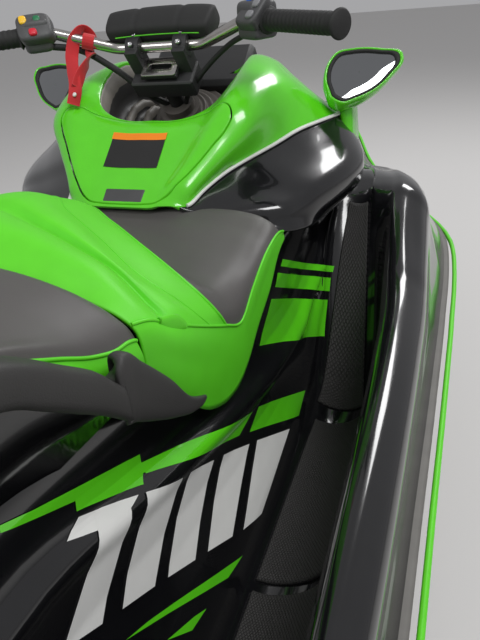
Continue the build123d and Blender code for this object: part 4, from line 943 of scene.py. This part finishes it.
# Grab rail, starboard and port alike: x, y of its middle, width, lower and upper height
GRAB_RAIL = [
    (-403, 300, 4, 420, 426), (-414, 299, 9, 420, 432), (-436, 297, 15, 427, 449),
    (-480, 294, 22, 452, 511), (-522, 291, 26, 482, 562), (-545, 291, 26, 500, 587),
    (-552, 291, 26, 506, 588), (-557, 288, 32, 511, 566), (-590, 284, 40, 545, 598),
    (-620, 283, 43, 572, 624), (-652, 281, 44, 601, 652), (-690, 277, 44, 632, 676),
    (-740, 271, 44, 646, 688), (-820, 264, 44, 648, 690), (-950, 250, 44, 640, 686),
    (-1060, 238, 44, 630, 680),
    (-1135, 222, 46, 620, 673), (-1178, 188, 50, 612, 669), (-1198, 135, 52, 607, 666),
    (-1203, 68, 54, 606, 665), (-1203, 0, 54, 606, 665),
]


def squared(count, power):
    """Round-cornered section between -1 and 1, as cosines and sines drawn out by a power."""
    a = np.arange(count) / count * 2 * np.pi
    c, s = np.cos(a), np.sin(a)
    return np.sign(c) * np.abs(c) ** power, np.sign(s) * np.abs(s) ** power


class WATERCRAFT_OT_grab_rail(bpy.types.Operator):
    """Grab rail round the rear seat, with the blades at its two ends"""
    bl_idname = "watercraft.grab_rail"
    bl_label = "Grab rail"

    def execute(self, context):
        half = through(GRAB_RAIL, 5)
        row = np.concatenate([half, half[-2::-1] * np.array([1, -1, 1, 1, 1])])
        x, y, wide, low, high = row.T
        ahead = unit(np.gradient(np.column_stack([x, y]), axis=0))
        out = np.column_stack([-ahead[:, 1], ahead[:, 0]])
        c, s = squared(28, 0.55)
        plan = np.column_stack([x, y])[:, None] + out[:, None] * (c[None, :, None] * wide[:, None, None] / 2)
        z = ((low + high) / 2)[:, None] + s[None] * ((high - low) / 2)[:, None]
        grid = np.concatenate([plan, z[..., None]], 2)
        ends = [np.repeat(grid[k].mean(0)[None, None], grid.shape[1], 1) for k in (0, -1)]
        rail = grid_piece("grab_rail_skin", np.concatenate([ends[0], grid, ends[1]]), wrap=True)
        tidy_mesh(rail, 0.01)
        support = swept("grab_rail_support", [(-1180, 0, 500), (-1180, 0, 560), (-1188, 0, 620)],
                        rounded(120, 76, 14, 4), up=(1, 0, 0))
        both = joined("grab_rail_skin", [rail, by_angle(tidy_mesh(support), 40)])
        seat(both, "watercraft", "handle_grey", ["grab_rail"])
        return {"FINISHED"}


# Steering head's own axes, and the bar's and grips' places
RAKE = math.radians(36)
PIVOT = np.array([215.0, 0, 690])
AXIS = np.array([-math.sin(RAKE), 0, math.cos(RAKE)])
FORE = np.array([math.cos(RAKE), 0, math.sin(RAKE)])
PORT = np.array([0.0, 1, 0])
BAR_MIDDLE = np.array([197.0, 92, 766])
GRIP_INNER = np.array([121.0, 240, 805])
GRIP_OUTER = np.array([12.0, 392, 801])
GRIP_WAY = unit(GRIP_OUTER - GRIP_INNER)
BAR_KNEE = GRIP_INNER - GRIP_WAY * 45
STARBOARD = np.array([1, -1, 1])
# Where a switch housing sits on the bar, inboard of its grip
HOUSING_BACK = 17
# Switch pods: side, cheek's name, its face, its shift along the grip and its size; then each key's
# name, finish, places along and up the cheek, and size
SWITCHES = (
    (1, "switch_cheek", (-0.75, -0.25, 0.62), 4, (66, 58, 34),
     (("yellow_key", "key_yellow", 12, 12, (14, 18, 9)), ("green_key", "key_green", -14, 11, (13, 13, 8)),
      ("red_key", "key_red", -2, -15, (15, 15, 9)))),
    (-1, "arrow_cheek", (-0.75, 0.1, 0.65), 0, (58, 62, 34),
     (("arrow_up", "key_grey", 12, 14, (18, 15, 8)), ("arrow_down", "key_grey", 12, -6, (18, 15, 8)),
      ("blue_key", "key_blue", -12, -14, (13, 13, 8)))),
)
# Hoses from the housings to the steering head: side, name, radius, start from the housing's middle,
# two points in the boat's axes and two in the steering head's
HOSES = (
    (1, "hose_port", 6.5, (6, -24, -22), ((168, 165, 772), (188, 110, 735)), ((-8, 34, -30), (2, 12, -60))),
    (-1, "hose_starboard", 5, (6, 24, -22), ((180, -150, 762), (196, -105, 732)),
     ((-8, -34, -24), (2, -14, -60))),
)
# Wrist strap: name, width and route of its fore and aft lengths
STRAPS = (
    ("lanyard_strap", 25, ((186, 150, 772), (190, 146, 792), (178, 152, 806), (164, 160, 798),
                           (145, 166, 768), (124, 158, 738), (107, 150, 708), (93, 153, 682))),
    ("lanyard_back", 22, ((186, 150, 772), (170, 140, 762), (148, 137, 750), (128, 142, 735),
                          (110, 148, 712))),
)
# Profiles as radius and height: clamp bolt, and the bellows' rings
BOLT = [(2.6, 3), (2.6, 5.4), (4.6, 5.4), (5.2, 4.6), (5.2, 0)]
BELLOWS = [(116, -128), (110, -118), (98, -119), (95, -106), (84, -108), (80, -95), (69, -97), (66, -84),
           (56, -87), (53, -74), (46, -77), (43, -62)]
# Clamp bolts' places on the head: out from the middle, fore and aft, and up
BOLT_OUT, BOLT_FORE, BOLT_UP = 51, 13, 17
# Bar pad: its middle, half its length, and half its width and height
PAD_MIDDLE = np.array([222, 0, 803])
PAD_REACH = 112
PAD_HALF = (31, 23)
GRIP_LONG = 180


def steer(points):
    """Points given in the steering head's axes, fore, port and up, in the boat's."""
    points = np.asarray(points, float)
    return PIVOT + points[..., :1] * FORE + points[..., 1:2] * PORT + points[..., 2:] * AXIS


def bent(points, radius, steps=6):
    """Route through corner points, each inner corner turned on an arc."""
    points = [np.asarray(p, float) for p in points]
    route = [points[0]]
    for before, at, after in zip(points, points[1:], points[2:]):
        come, go = unit(at - before), unit(after - at)
        turn = math.acos(np.clip(come @ go, -1, 1))
        middle = at + unit(go - come) * radius / math.cos(turn / 2)
        out = unit(at - come * radius * math.tan(turn / 2) - middle)
        for t in np.linspace(0, turn, steps):
            route.append(middle + out * radius * math.cos(t) + come * radius * math.sin(t))
    return np.array(route + [points[-1]])


def pebble(name, centre, x_way, z_way, size, power=0.4, count=(16, 28)):
    """Round-cornered block: a ball whose sines and cosines are drawn out by a power."""
    x_way, z_way = unit(np.asarray(x_way, float)), unit(np.asarray(z_way, float))
    y_way = np.cross(z_way, x_way)
    tilt = np.linspace(-np.pi / 2, np.pi / 2, count[0])
    ring = np.abs(np.cos(tilt)) ** power
    rise = np.sign(np.sin(tilt)) * np.abs(np.sin(tilt)) ** power
    c, s = squared(count[1], power)
    half = np.asarray(size, float) / 2
    grid = (np.asarray(centre, float) + (ring[:, None] * c[None])[..., None] * x_way * half[0]
            + (ring[:, None] * s[None])[..., None] * y_way * half[1]
            + (rise[:, None] + 0 * c[None])[..., None] * z_way * half[2])
    return tidy_mesh(grid_piece(name, grid, wrap=True))


def bar_pieces():
    """Bar, steering head, its slotted plate and the clamp bolts."""
    ends = [BAR_MIDDLE, BAR_KNEE, GRIP_OUTER]
    bar = swept("bar_tube", bent([p * STARBOARD for p in ends[::-1]] + ends, 60), circle(11, 24))
    seat(bar, "steering", "bar_metal", ["handlebar"])
    head = moulded("steering_head", "steering_head_skin", 3.0)
    seat(head, "steering", "dark_plastic", ["steering_head"])
    plate = prism("slot_plate", rounded(46, 76, 6, 4), 0, 3)
    cut(plate, prism("slot_cutter", rounded(13, 50, 6.4, 6), -4, 8))
    soften(plate, 0.7, 2, 40)
    put_vertices(plate, steer(vertices_of(plate) + np.array([2, 0, 46.2])))
    seat(by_angle(plate), "steering", "bar_metal")
    bolts = []
    for side in (1, -1):
        top = BAR_MIDDLE * np.array([1, 0, 1]) + PORT * side * BOLT_OUT
        for fore in (-BOLT_FORE, BOLT_FORE):
            spot = top + FORE * fore + AXIS * BOLT_UP
            bolts.append(turned_piece(f"bolt_{side}_{fore}", BOLT, spot, AXIS, 24))
    seat(joined("clamp_bolts", bolts), "steering", "steel")


def pad_pieces():
    """Crash pad, crowned, with two channels, and a line along its face."""
    t = np.linspace(-1, 1, 61)
    belly = (1 - np.abs(t) ** 8) ** 0.5 * 0.16 + 0.86
    belly = belly * (1 - 0.07 * np.exp(-((np.abs(t) - 0.42) / 0.045) ** 2))
    belly[[0, -1]] = 0.78
    line = PAD_MIDDLE + PORT * (t * PAD_REACH)[:, None] - FORE * (6 * t ** 2)[:, None]
    section = np.column_stack(squared(36, 0.62)) * PAD_HALF
    pad = tidy_mesh(swept("bar_pad_cover", line, section, up=AXIS, scale=belly))
    seat(by_angle(pad, 50), "steering", "soft_black", ["bar_pad"])
    thread = swept("pad_line", line[6:-6] - FORE * 31.5 + AXIS * 4, circle(1.3, 8))
    seat(thread, "steering", "green_trim")


def grip_pieces():
    """Ribbed grips, switch housings, their cheeks and keys, and the hoses."""
    h = np.linspace(0, GRIP_LONG, 109)
    r = 16.6 + 0.5 * np.sin(h / GRIP_LONG * np.pi * 36) * (h > 16) * (h < 160)
    r = r + 5.5 * np.clip(1 - np.abs(h - 5) / 4, 0, 1) + 6.0 * np.clip(1 - np.abs(h - 176) / 6, 0, 1)
    base = GRIP_INNER - GRIP_WAY * HOUSING_BACK
    for side, where in SIDES:
        turn = np.array([1, side, 1])
        start, way = (GRIP_INNER + GRIP_WAY * 10) * turn, GRIP_WAY * turn
        grip = turned_piece(f"grip_skin_{where}", np.column_stack([r, h]), start, way, 28)
        seat(grip, "steering", "soft_black", [f"grip_{where}"])
        housing = pebble(f"housing_skin_{where}", base * turn, way, (0, 0, 1), (54, 54, 60), 0.34)
        seat(housing, "steering", "housing_grey", [f"switch_housing_{where}"])
    for side, name, face, shift, size, keys in SWITCHES:
        turn = np.array([1, side, 1])
        middle, way, face = base * turn, GRIP_WAY * turn, unit(np.array(face))
        across = unit(np.cross(face, way))
        cheek = pebble(name, middle + face * 16 - way * shift, way, face, size, 0.45)
        seat(cheek, "steering", "housing_grey")
        for key_name, key, along, up, key_size in keys:
            spot = middle + face * 33 + way * along - across * up
            seat(pebble(key_name, spot, way, face, key_size, 0.6, (12, 20)), "steering", key)
    for side, name, radius, start, points, low in HOSES:
        route = through([base * np.array([1, side, 1]) + start, *points, *steer(low)], 8)
        seat(swept(name, route, circle(radius, 14)), "steering", "soft_black")


class WATERCRAFT_OT_bars(bpy.types.Operator):
    """Handlebar with its pad, clamps, grips, switches, hoses, bellows and wrist strap"""
    bl_idname = "watercraft.bars"
    bl_label = "Handlebar"

    def execute(self, context):
        bar_pieces()
        pad_pieces()
        grip_pieces()
        boot = grid_piece("bellows_rings", turned(through(BELLOWS, 4), PIVOT, AXIS, 56), wrap=True, flip=True)
        seat(wall(boot, 3), "watercraft", "bellows")
        up = unit(np.array([0.75, 0.3, 0.6]))
        straps = [swept(name, through(route, 7), rounded(3, wide, 1.2, 2)[:, ::-1], up=up)
                  for name, wide, route in STRAPS]
        seat(joined("lanyard", straps), "steering", "webbing")
        rivet = pebble("lanyard_rivet", (99, 149, 700), (0, 1, 0), (-0.75, -0.3, 0.6), (9, 9, 6), 0.9,
                       (10, 16))
        seat(rivet, "steering", "white_trim")
        return {"FINISHED"}


# Starboard mirror: its place and facing, and its outline on its own plane, across and up
MIRROR_AT = np.array([336.0, -360, 690])
MIRROR_FACE = unit(np.array([-0.756, -0.223, 0.616]))
MIRROR_RIM = [(-65, -27), (-57, 15), (-38, 37), (-6, 42), (53, 36), (90, 24), (91, 11), (69, -18), (36, -47),
              (-12, -67), (-32, -72), (-57, -57)]
MIRROR_MIDDLE = np.array([4.0, -8.0])
# Rings of shell, bezel and pane: share of the outline, height over the plane, shift across and up
MIRROR_SHELL = [(0.93, -3), (0.965, 1.5), (1, 0), (1.03, -7), (1.02, -20, -2, -2), (0.92, -36, -6, -6),
                (0.72, -49, -10, -12), (0.4, -56, -14, -18), (0.02, -58, -16, -20)]
MIRROR_BEZEL = [(0.8, -8), (0.83, -1.5), (0.88, 1), (0.92, 0.2), (0.955, -4)]
MIRROR_PANE = [(0.01, -3.5), (0.5, -3.6), (0.8, -4.2), (0.86, -4.6)]
# The web under the mirror: route, and its section's stretch at each point
MIRROR_WEB = [(384, -350, 680), (370, -344, 652), (358, -340, 615), (356, -340, 576), (358, -336, 536)]
MIRROR_WEB_SCALE = [[0.5, 1.1], [0.85, 1.2], [0.9, 1.0], [0.95, 1.1], [1.15, 1.5]]


def closed_curve(points, steps=6):
    """Smooth closed curve through points."""
    points = np.asarray(points, float)
    return through(np.concatenate([points[-2:], points, points[:3]]), steps)[2 * steps:-3 * steps]


def mirror_grid(rings):
    """Rings of the mirror's outline set out from its plane along its facing."""
    across = unit(np.cross([0, 0, 1], MIRROR_FACE))
    up = np.cross(MIRROR_FACE, across)
    rim = closed_curve(MIRROR_RIM)
    rows = []
    for size, depth, *shift in rings:
        flat = MIRROR_MIDDLE + (rim - MIRROR_MIDDLE) * size + np.array(shift or (0, 0))
        rows.append(MIRROR_AT + flat[:, :1] * across + flat[:, 1:] * up + MIRROR_FACE * depth)
    return np.array(rows)


class WATERCRAFT_OT_mirrors(bpy.types.Operator):
    """Mirrors: green shells on their webs, black bezels and panes"""
    bl_idname = "watercraft.mirrors"
    bl_label = "Mirrors"

    def execute(self, context):
        shell, bezel, pane = (
            grid_piece(name, mirror_grid(rings), wrap=True, flip=True)
            for name, rings in (("mirror_shell", MIRROR_SHELL), ("mirror_bezel_starboard", MIRROR_BEZEL),
                                ("mirror_pane_starboard", MIRROR_PANE)))
        tidy_mesh(shell, normals=False)
        tidy_mesh(pane, normals=False)
        web = tidy_mesh(swept("mirror_web", through(MIRROR_WEB, 5), rounded(84, 26, 12, 5), up=(0, 1, 0),
                              scale=through(MIRROR_WEB_SCALE, 5)))
        shell = joined("mirror_skin_starboard", [shell, web])
        parts = ((shell, "green_gloss", "lime_paint", ["mirror_starboard"]),
                 (bezel, "soft_black", "dark_plastic", []),
                 (pane, "mirror_pane", "mirror_pane", ["mirror_glass_starboard"]))
        for piece, key, slot, nodes in parts:
            twin = flipped(piece, piece.name.replace("starboard", "port"))
            seat(piece, "watercraft", key, nodes)
            seat(twin, "watercraft", key, [n.replace("starboard", "port") for n in nodes])
        return {"FINISHED"}


# Bow hood: x, side_y, side_z, shoulder_y, shoulder_z, crown_y, crown_z
HOOD_TABLE = [
    (458, 262, 404, 196, 596, 100, 634), (580, 262, 384, 190, 560, 96, 598),
    (700, 250, 352, 170, 520, 90, 560), (850, 218, 343, 150, 480, 78, 518),
    (1000, 178, 341, 125, 440, 64, 474), (1150, 138, 342, 96, 410, 48, 438),
    (1300, 98, 345, 66, 385, 34, 404), (1440, 68, 350, 46, 372, 22, 386), (1520, 52, 352, 36, 366, 16, 378),
]
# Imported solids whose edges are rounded: node, piece, width, body, finish and slot
MOULDED = (
    ("hull", "hull_skin", 5, "watercraft", "black_gloss", "gloss_black"),
    ("instrument_pod", "pod_skin", 9, "watercraft", "dark_plastic", "dark_plastic"),
    ("lid_latch", "latch_skin", 4, "glove_lid", "housing_grey", "dark_plastic"),
    ("throttle_lever", "lever_skin", 2, "steering", "dark_plastic", "dark_plastic"),
    ("sponsons", "sponson_skin", 4, "watercraft", "dark_plastic", "dark_plastic"),
    ("engine", "engine_cover", 14, "watercraft", "engine_grey", "engine_grey"),
    ("reverse_bucket", "bucket_skin", 2, "reverse_gate", "cast_alloy", "cast_alloy"),
    ("boarding_step", "step_skin", 2, "swim_step", "steel", "steel"),
)


class WATERCRAFT_OT_hull(bpy.types.Operator):
    """Hood from its table, and hull, pod, latch and running gear with their edges moulded round"""
    bl_idname = "watercraft.hull"
    bl_label = "Hull and hood"

    def execute(self, context):
        x, sy, sz, py, pz, cy, cz = np.array(HOOD_TABLE, float).T
        profile = [(0 * x, cz + 4), (cy * 0.6, cz + 3), (cy, cz), ((cy + py) / 2 + 3, (cz + pz) / 2 + 5),
                   (py, pz), (py + (sy - py) * 0.45 + 4, pz - (pz - sz) * 0.4), (sy, sz + 12), (sy + 1, sz)]
        hood = wall(grid_piece("hood_skin", net(both_sides(stations(x, profile)), 6, 5)), 6)
        seat(hood, "bow_hood", "green_gloss", ["hood"])
        for node, name, width, body, key, slot in MOULDED:
            seat(moulded(node, name, width), body, key, [node])
        return {"FINISHED"}


# Rail round the bond line: the nose's reach as a share of its half width, the green bead's
# distance out from the line, and the rubber's section, inwards and up
NOSE_SHARE = 0.42
BEAD_PROUD = 23
RUBBER = [(-10, -30), (8, -30), (16, -27), (19, -18), (20, 0), (18, 8), (10, 12), (-10, 12)]


def bond_line(side=1, proud=0.0):
    """Smooth bond line from the transom to the stem, moved outwards by proud."""
    t = through(DECK_TABLE, 6, DECK_CORNERS)
    return np.stack([t[:, 0], side * (t[:, -2] + proud), t[:, -1]], 1)


def round_the_bow(proud):
    """Bond line of both sides joined round the stem by a half circle in plan."""
    port, starboard = bond_line(1, proud), bond_line(-1, proud)
    reach, half, z = port[-1]
    a = np.linspace(0, np.pi, 13)[1:-1]
    nose = np.stack([reach + half * NOSE_SHARE * np.sin(a), half * np.cos(a), np.full(len(a), z)], 1)
    return np.concatenate([port, nose, starboard[::-1]])


class WATERCRAFT_OT_rails(bpy.types.Operator):
    """Rubber rail and the green bead round the boat"""
    bl_idname = "watercraft.rails"
    bl_label = "Rub rail"

    def execute(self, context):
        rubber = through(RUBBER + RUBBER[:1], 3, (0, len(RUBBER) - 1))[:-1]
        rail = tidy_mesh(swept("rail_rubber", round_the_bow(0), rubber * np.array([-1, 1])))
        seat(rail, "watercraft", "rubber_grey", ["rub_rail"])
        bead = swept("rail_bead_trim", round_the_bow(BEAD_PROUD), rounded(10, 12, 4.5, 3) * np.array([-1, 1]))
        seat(tidy_mesh(bead), "watercraft", "green_trim", ["rail_bead"])
        return {"FINISHED"}


class WATERCRAFT_OT_nodes(bpy.types.Operator):
    """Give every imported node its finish"""
    bl_idname = "watercraft.nodes"
    bl_label = "Dress packed nodes"

    def execute(self, context):
        for key, names in NODE_FINISH.items():
            for name in names:
                painted(NODES[name], finish_table()[key])
        return {"FINISHED"}


STUDIO_SIZE = 14.0
# Soft lights: name, place, aim, width and share of the key light's power
LIGHTS = (
    ("key_light", (-1.5, -2.2, 4.2), (0, 0, 0.3), 2.2, 1.0),
    ("fill_light", (-3.6, 2.4, 3.0), (0, 0, 0.3), 2.5, 0.45),
    ("front_light", (3.2, -1.2, 3.4), (0.2, 0, 0.4), 1.8, 0.6),
)
SENSOR_TALL = 36.0
PHOTO_TALL = 640
CAMERA_FOCAL_PX = 591.24
CAMERA_AT = (-0.9341, -0.5814, 0.8903)
CAMERA_YAW = 0.396948
CAMERA_PITCH = 0.541288
CAMERA_ROLL = -0.108058


def camera_matrix():
    """Camera turned by yaw about Z, pitch down, then roll about its own line of sight."""
    ahead = np.array([math.cos(CAMERA_YAW) * math.cos(CAMERA_PITCH),
                      math.sin(CAMERA_YAW) * math.cos(CAMERA_PITCH), -math.sin(CAMERA_PITCH)])
    right = np.array([math.sin(CAMERA_YAW), -math.cos(CAMERA_YAW), 0.0])
    up = np.cross(right, ahead)
    across = right * math.cos(CAMERA_ROLL) + up * math.sin(CAMERA_ROLL)
    rise = -right * math.sin(CAMERA_ROLL) + up * math.cos(CAMERA_ROLL)
    matrix = np.eye(4)
    matrix[:3, 0], matrix[:3, 1], matrix[:3, 2], matrix[:3, 3] = across, rise, -ahead, CAMERA_AT
    return Matrix(matrix.tolist())


class WATERCRAFT_OT_stage(bpy.types.Operator):
    """Floor, soft studio lights and the camera at the photo's place"""
    bl_idname = "watercraft.stage"
    bl_label = "Stage"

    def execute(self, context):
        settings = context.scene.watercraft_stage
        floor = mesh_piece("studio_floor", np.array([[-1, -1, 0], [1, -1, 0], [1, 1, 0], [-1, 1, 0]])
                           * STUDIO_SIZE / MM + np.array([0, 0, settings.floor_height / MM]), [[0, 1, 2, 3]],
                           smooth=False)
        ground = bpy.data.materials.new("studio_grey")
        ground.use_nodes = True
        feed(ground.node_tree, ground.node_tree.nodes["Principled BSDF"],
             {"Base Color": (0.62, 0.61, 0.60, 1), "Roughness": 0.8})
        painted(floor, ground)
        world = bpy.data.worlds.new("studio_world")
        context.scene.world = world
        world.use_nodes = True
        feed(world.node_tree, world.node_tree.nodes["Background"],
             {"Color": (0.9, 0.9, 0.92, 1), "Strength": 0.42})
        for name, place, aim, width, share in LIGHTS:
            data = bpy.data.lights.new(name, "AREA")
            data.shape = "RECTANGLE"
            data.size, data.size_y = width, width * 0.6
            data.energy = settings.key_power * share
            lamp = bpy.data.objects.new(name, data)
            context.scene.collection.objects.link(lamp)
            lamp.location = place
            lamp.rotation_euler = (Vector(aim) - Vector(place)).to_track_quat("-Z", "Y").to_euler()
        data = bpy.data.cameras.new("photo_camera")
        data.sensor_fit = "VERTICAL"
        data.sensor_height = SENSOR_TALL
        data.lens = CAMERA_FOCAL_PX * SENSOR_TALL / PHOTO_TALL
        data.clip_start = 0.02
        data.clip_end = 100.0
        camera = bpy.data.objects.new("photo_camera", data)
        context.scene.collection.objects.link(camera)
        camera.matrix_world = camera_matrix()
        context.scene.camera = camera
        context.scene.view_settings.view_transform = "Standard"
        return {"FINISHED"}


class WATERCRAFT_PT_panel(bpy.types.Panel):
    """Buttons for the craft's pieces"""
    bl_idname = "WATERCRAFT_PT_panel"
    bl_label = "Watercraft"
    bl_space_type = "VIEW_3D"
    bl_region_type = "UI"
    bl_category = "Watercraft"

    def draw(self, context):
        for operator in OPERATORS:
            self.layout.operator(operator.bl_idname)


OPERATORS = (
    WATERCRAFT_OT_nodes,
    WATERCRAFT_OT_deck,
    WATERCRAFT_OT_cowl,
    WATERCRAFT_OT_rails,
    WATERCRAFT_OT_seats,
    WATERCRAFT_OT_bands,
    WATERCRAFT_OT_mats,
    WATERCRAFT_OT_grab_rail,
    WATERCRAFT_OT_bars,
    WATERCRAFT_OT_mirrors,
    WATERCRAFT_OT_hull,
    WATERCRAFT_OT_stage,
)
CLASSES = (WatercraftLook, WatercraftStage, *OPERATORS, WATERCRAFT_PT_panel)


def register():
    """Register the classes and hang the settings on the scene."""
    for cls in CLASSES:
        bpy.utils.register_class(cls)
    bpy.types.Scene.watercraft_look = bpy.props.PointerProperty(type=WatercraftLook)
    bpy.types.Scene.watercraft_stage = bpy.props.PointerProperty(type=WatercraftStage)


def unregister():
    """Take the settings and classes away again."""
    del bpy.types.Scene.watercraft_stage
    del bpy.types.Scene.watercraft_look
    for cls in reversed(CLASSES):
        bpy.utils.unregister_class(cls)


def main():
    """Make every piece in order."""
    register()
    for operator in OPERATORS:
        group, name = operator.bl_idname.split(".")
        getattr(getattr(bpy.ops, group), name)()


if __name__ == "__main__":
    main()
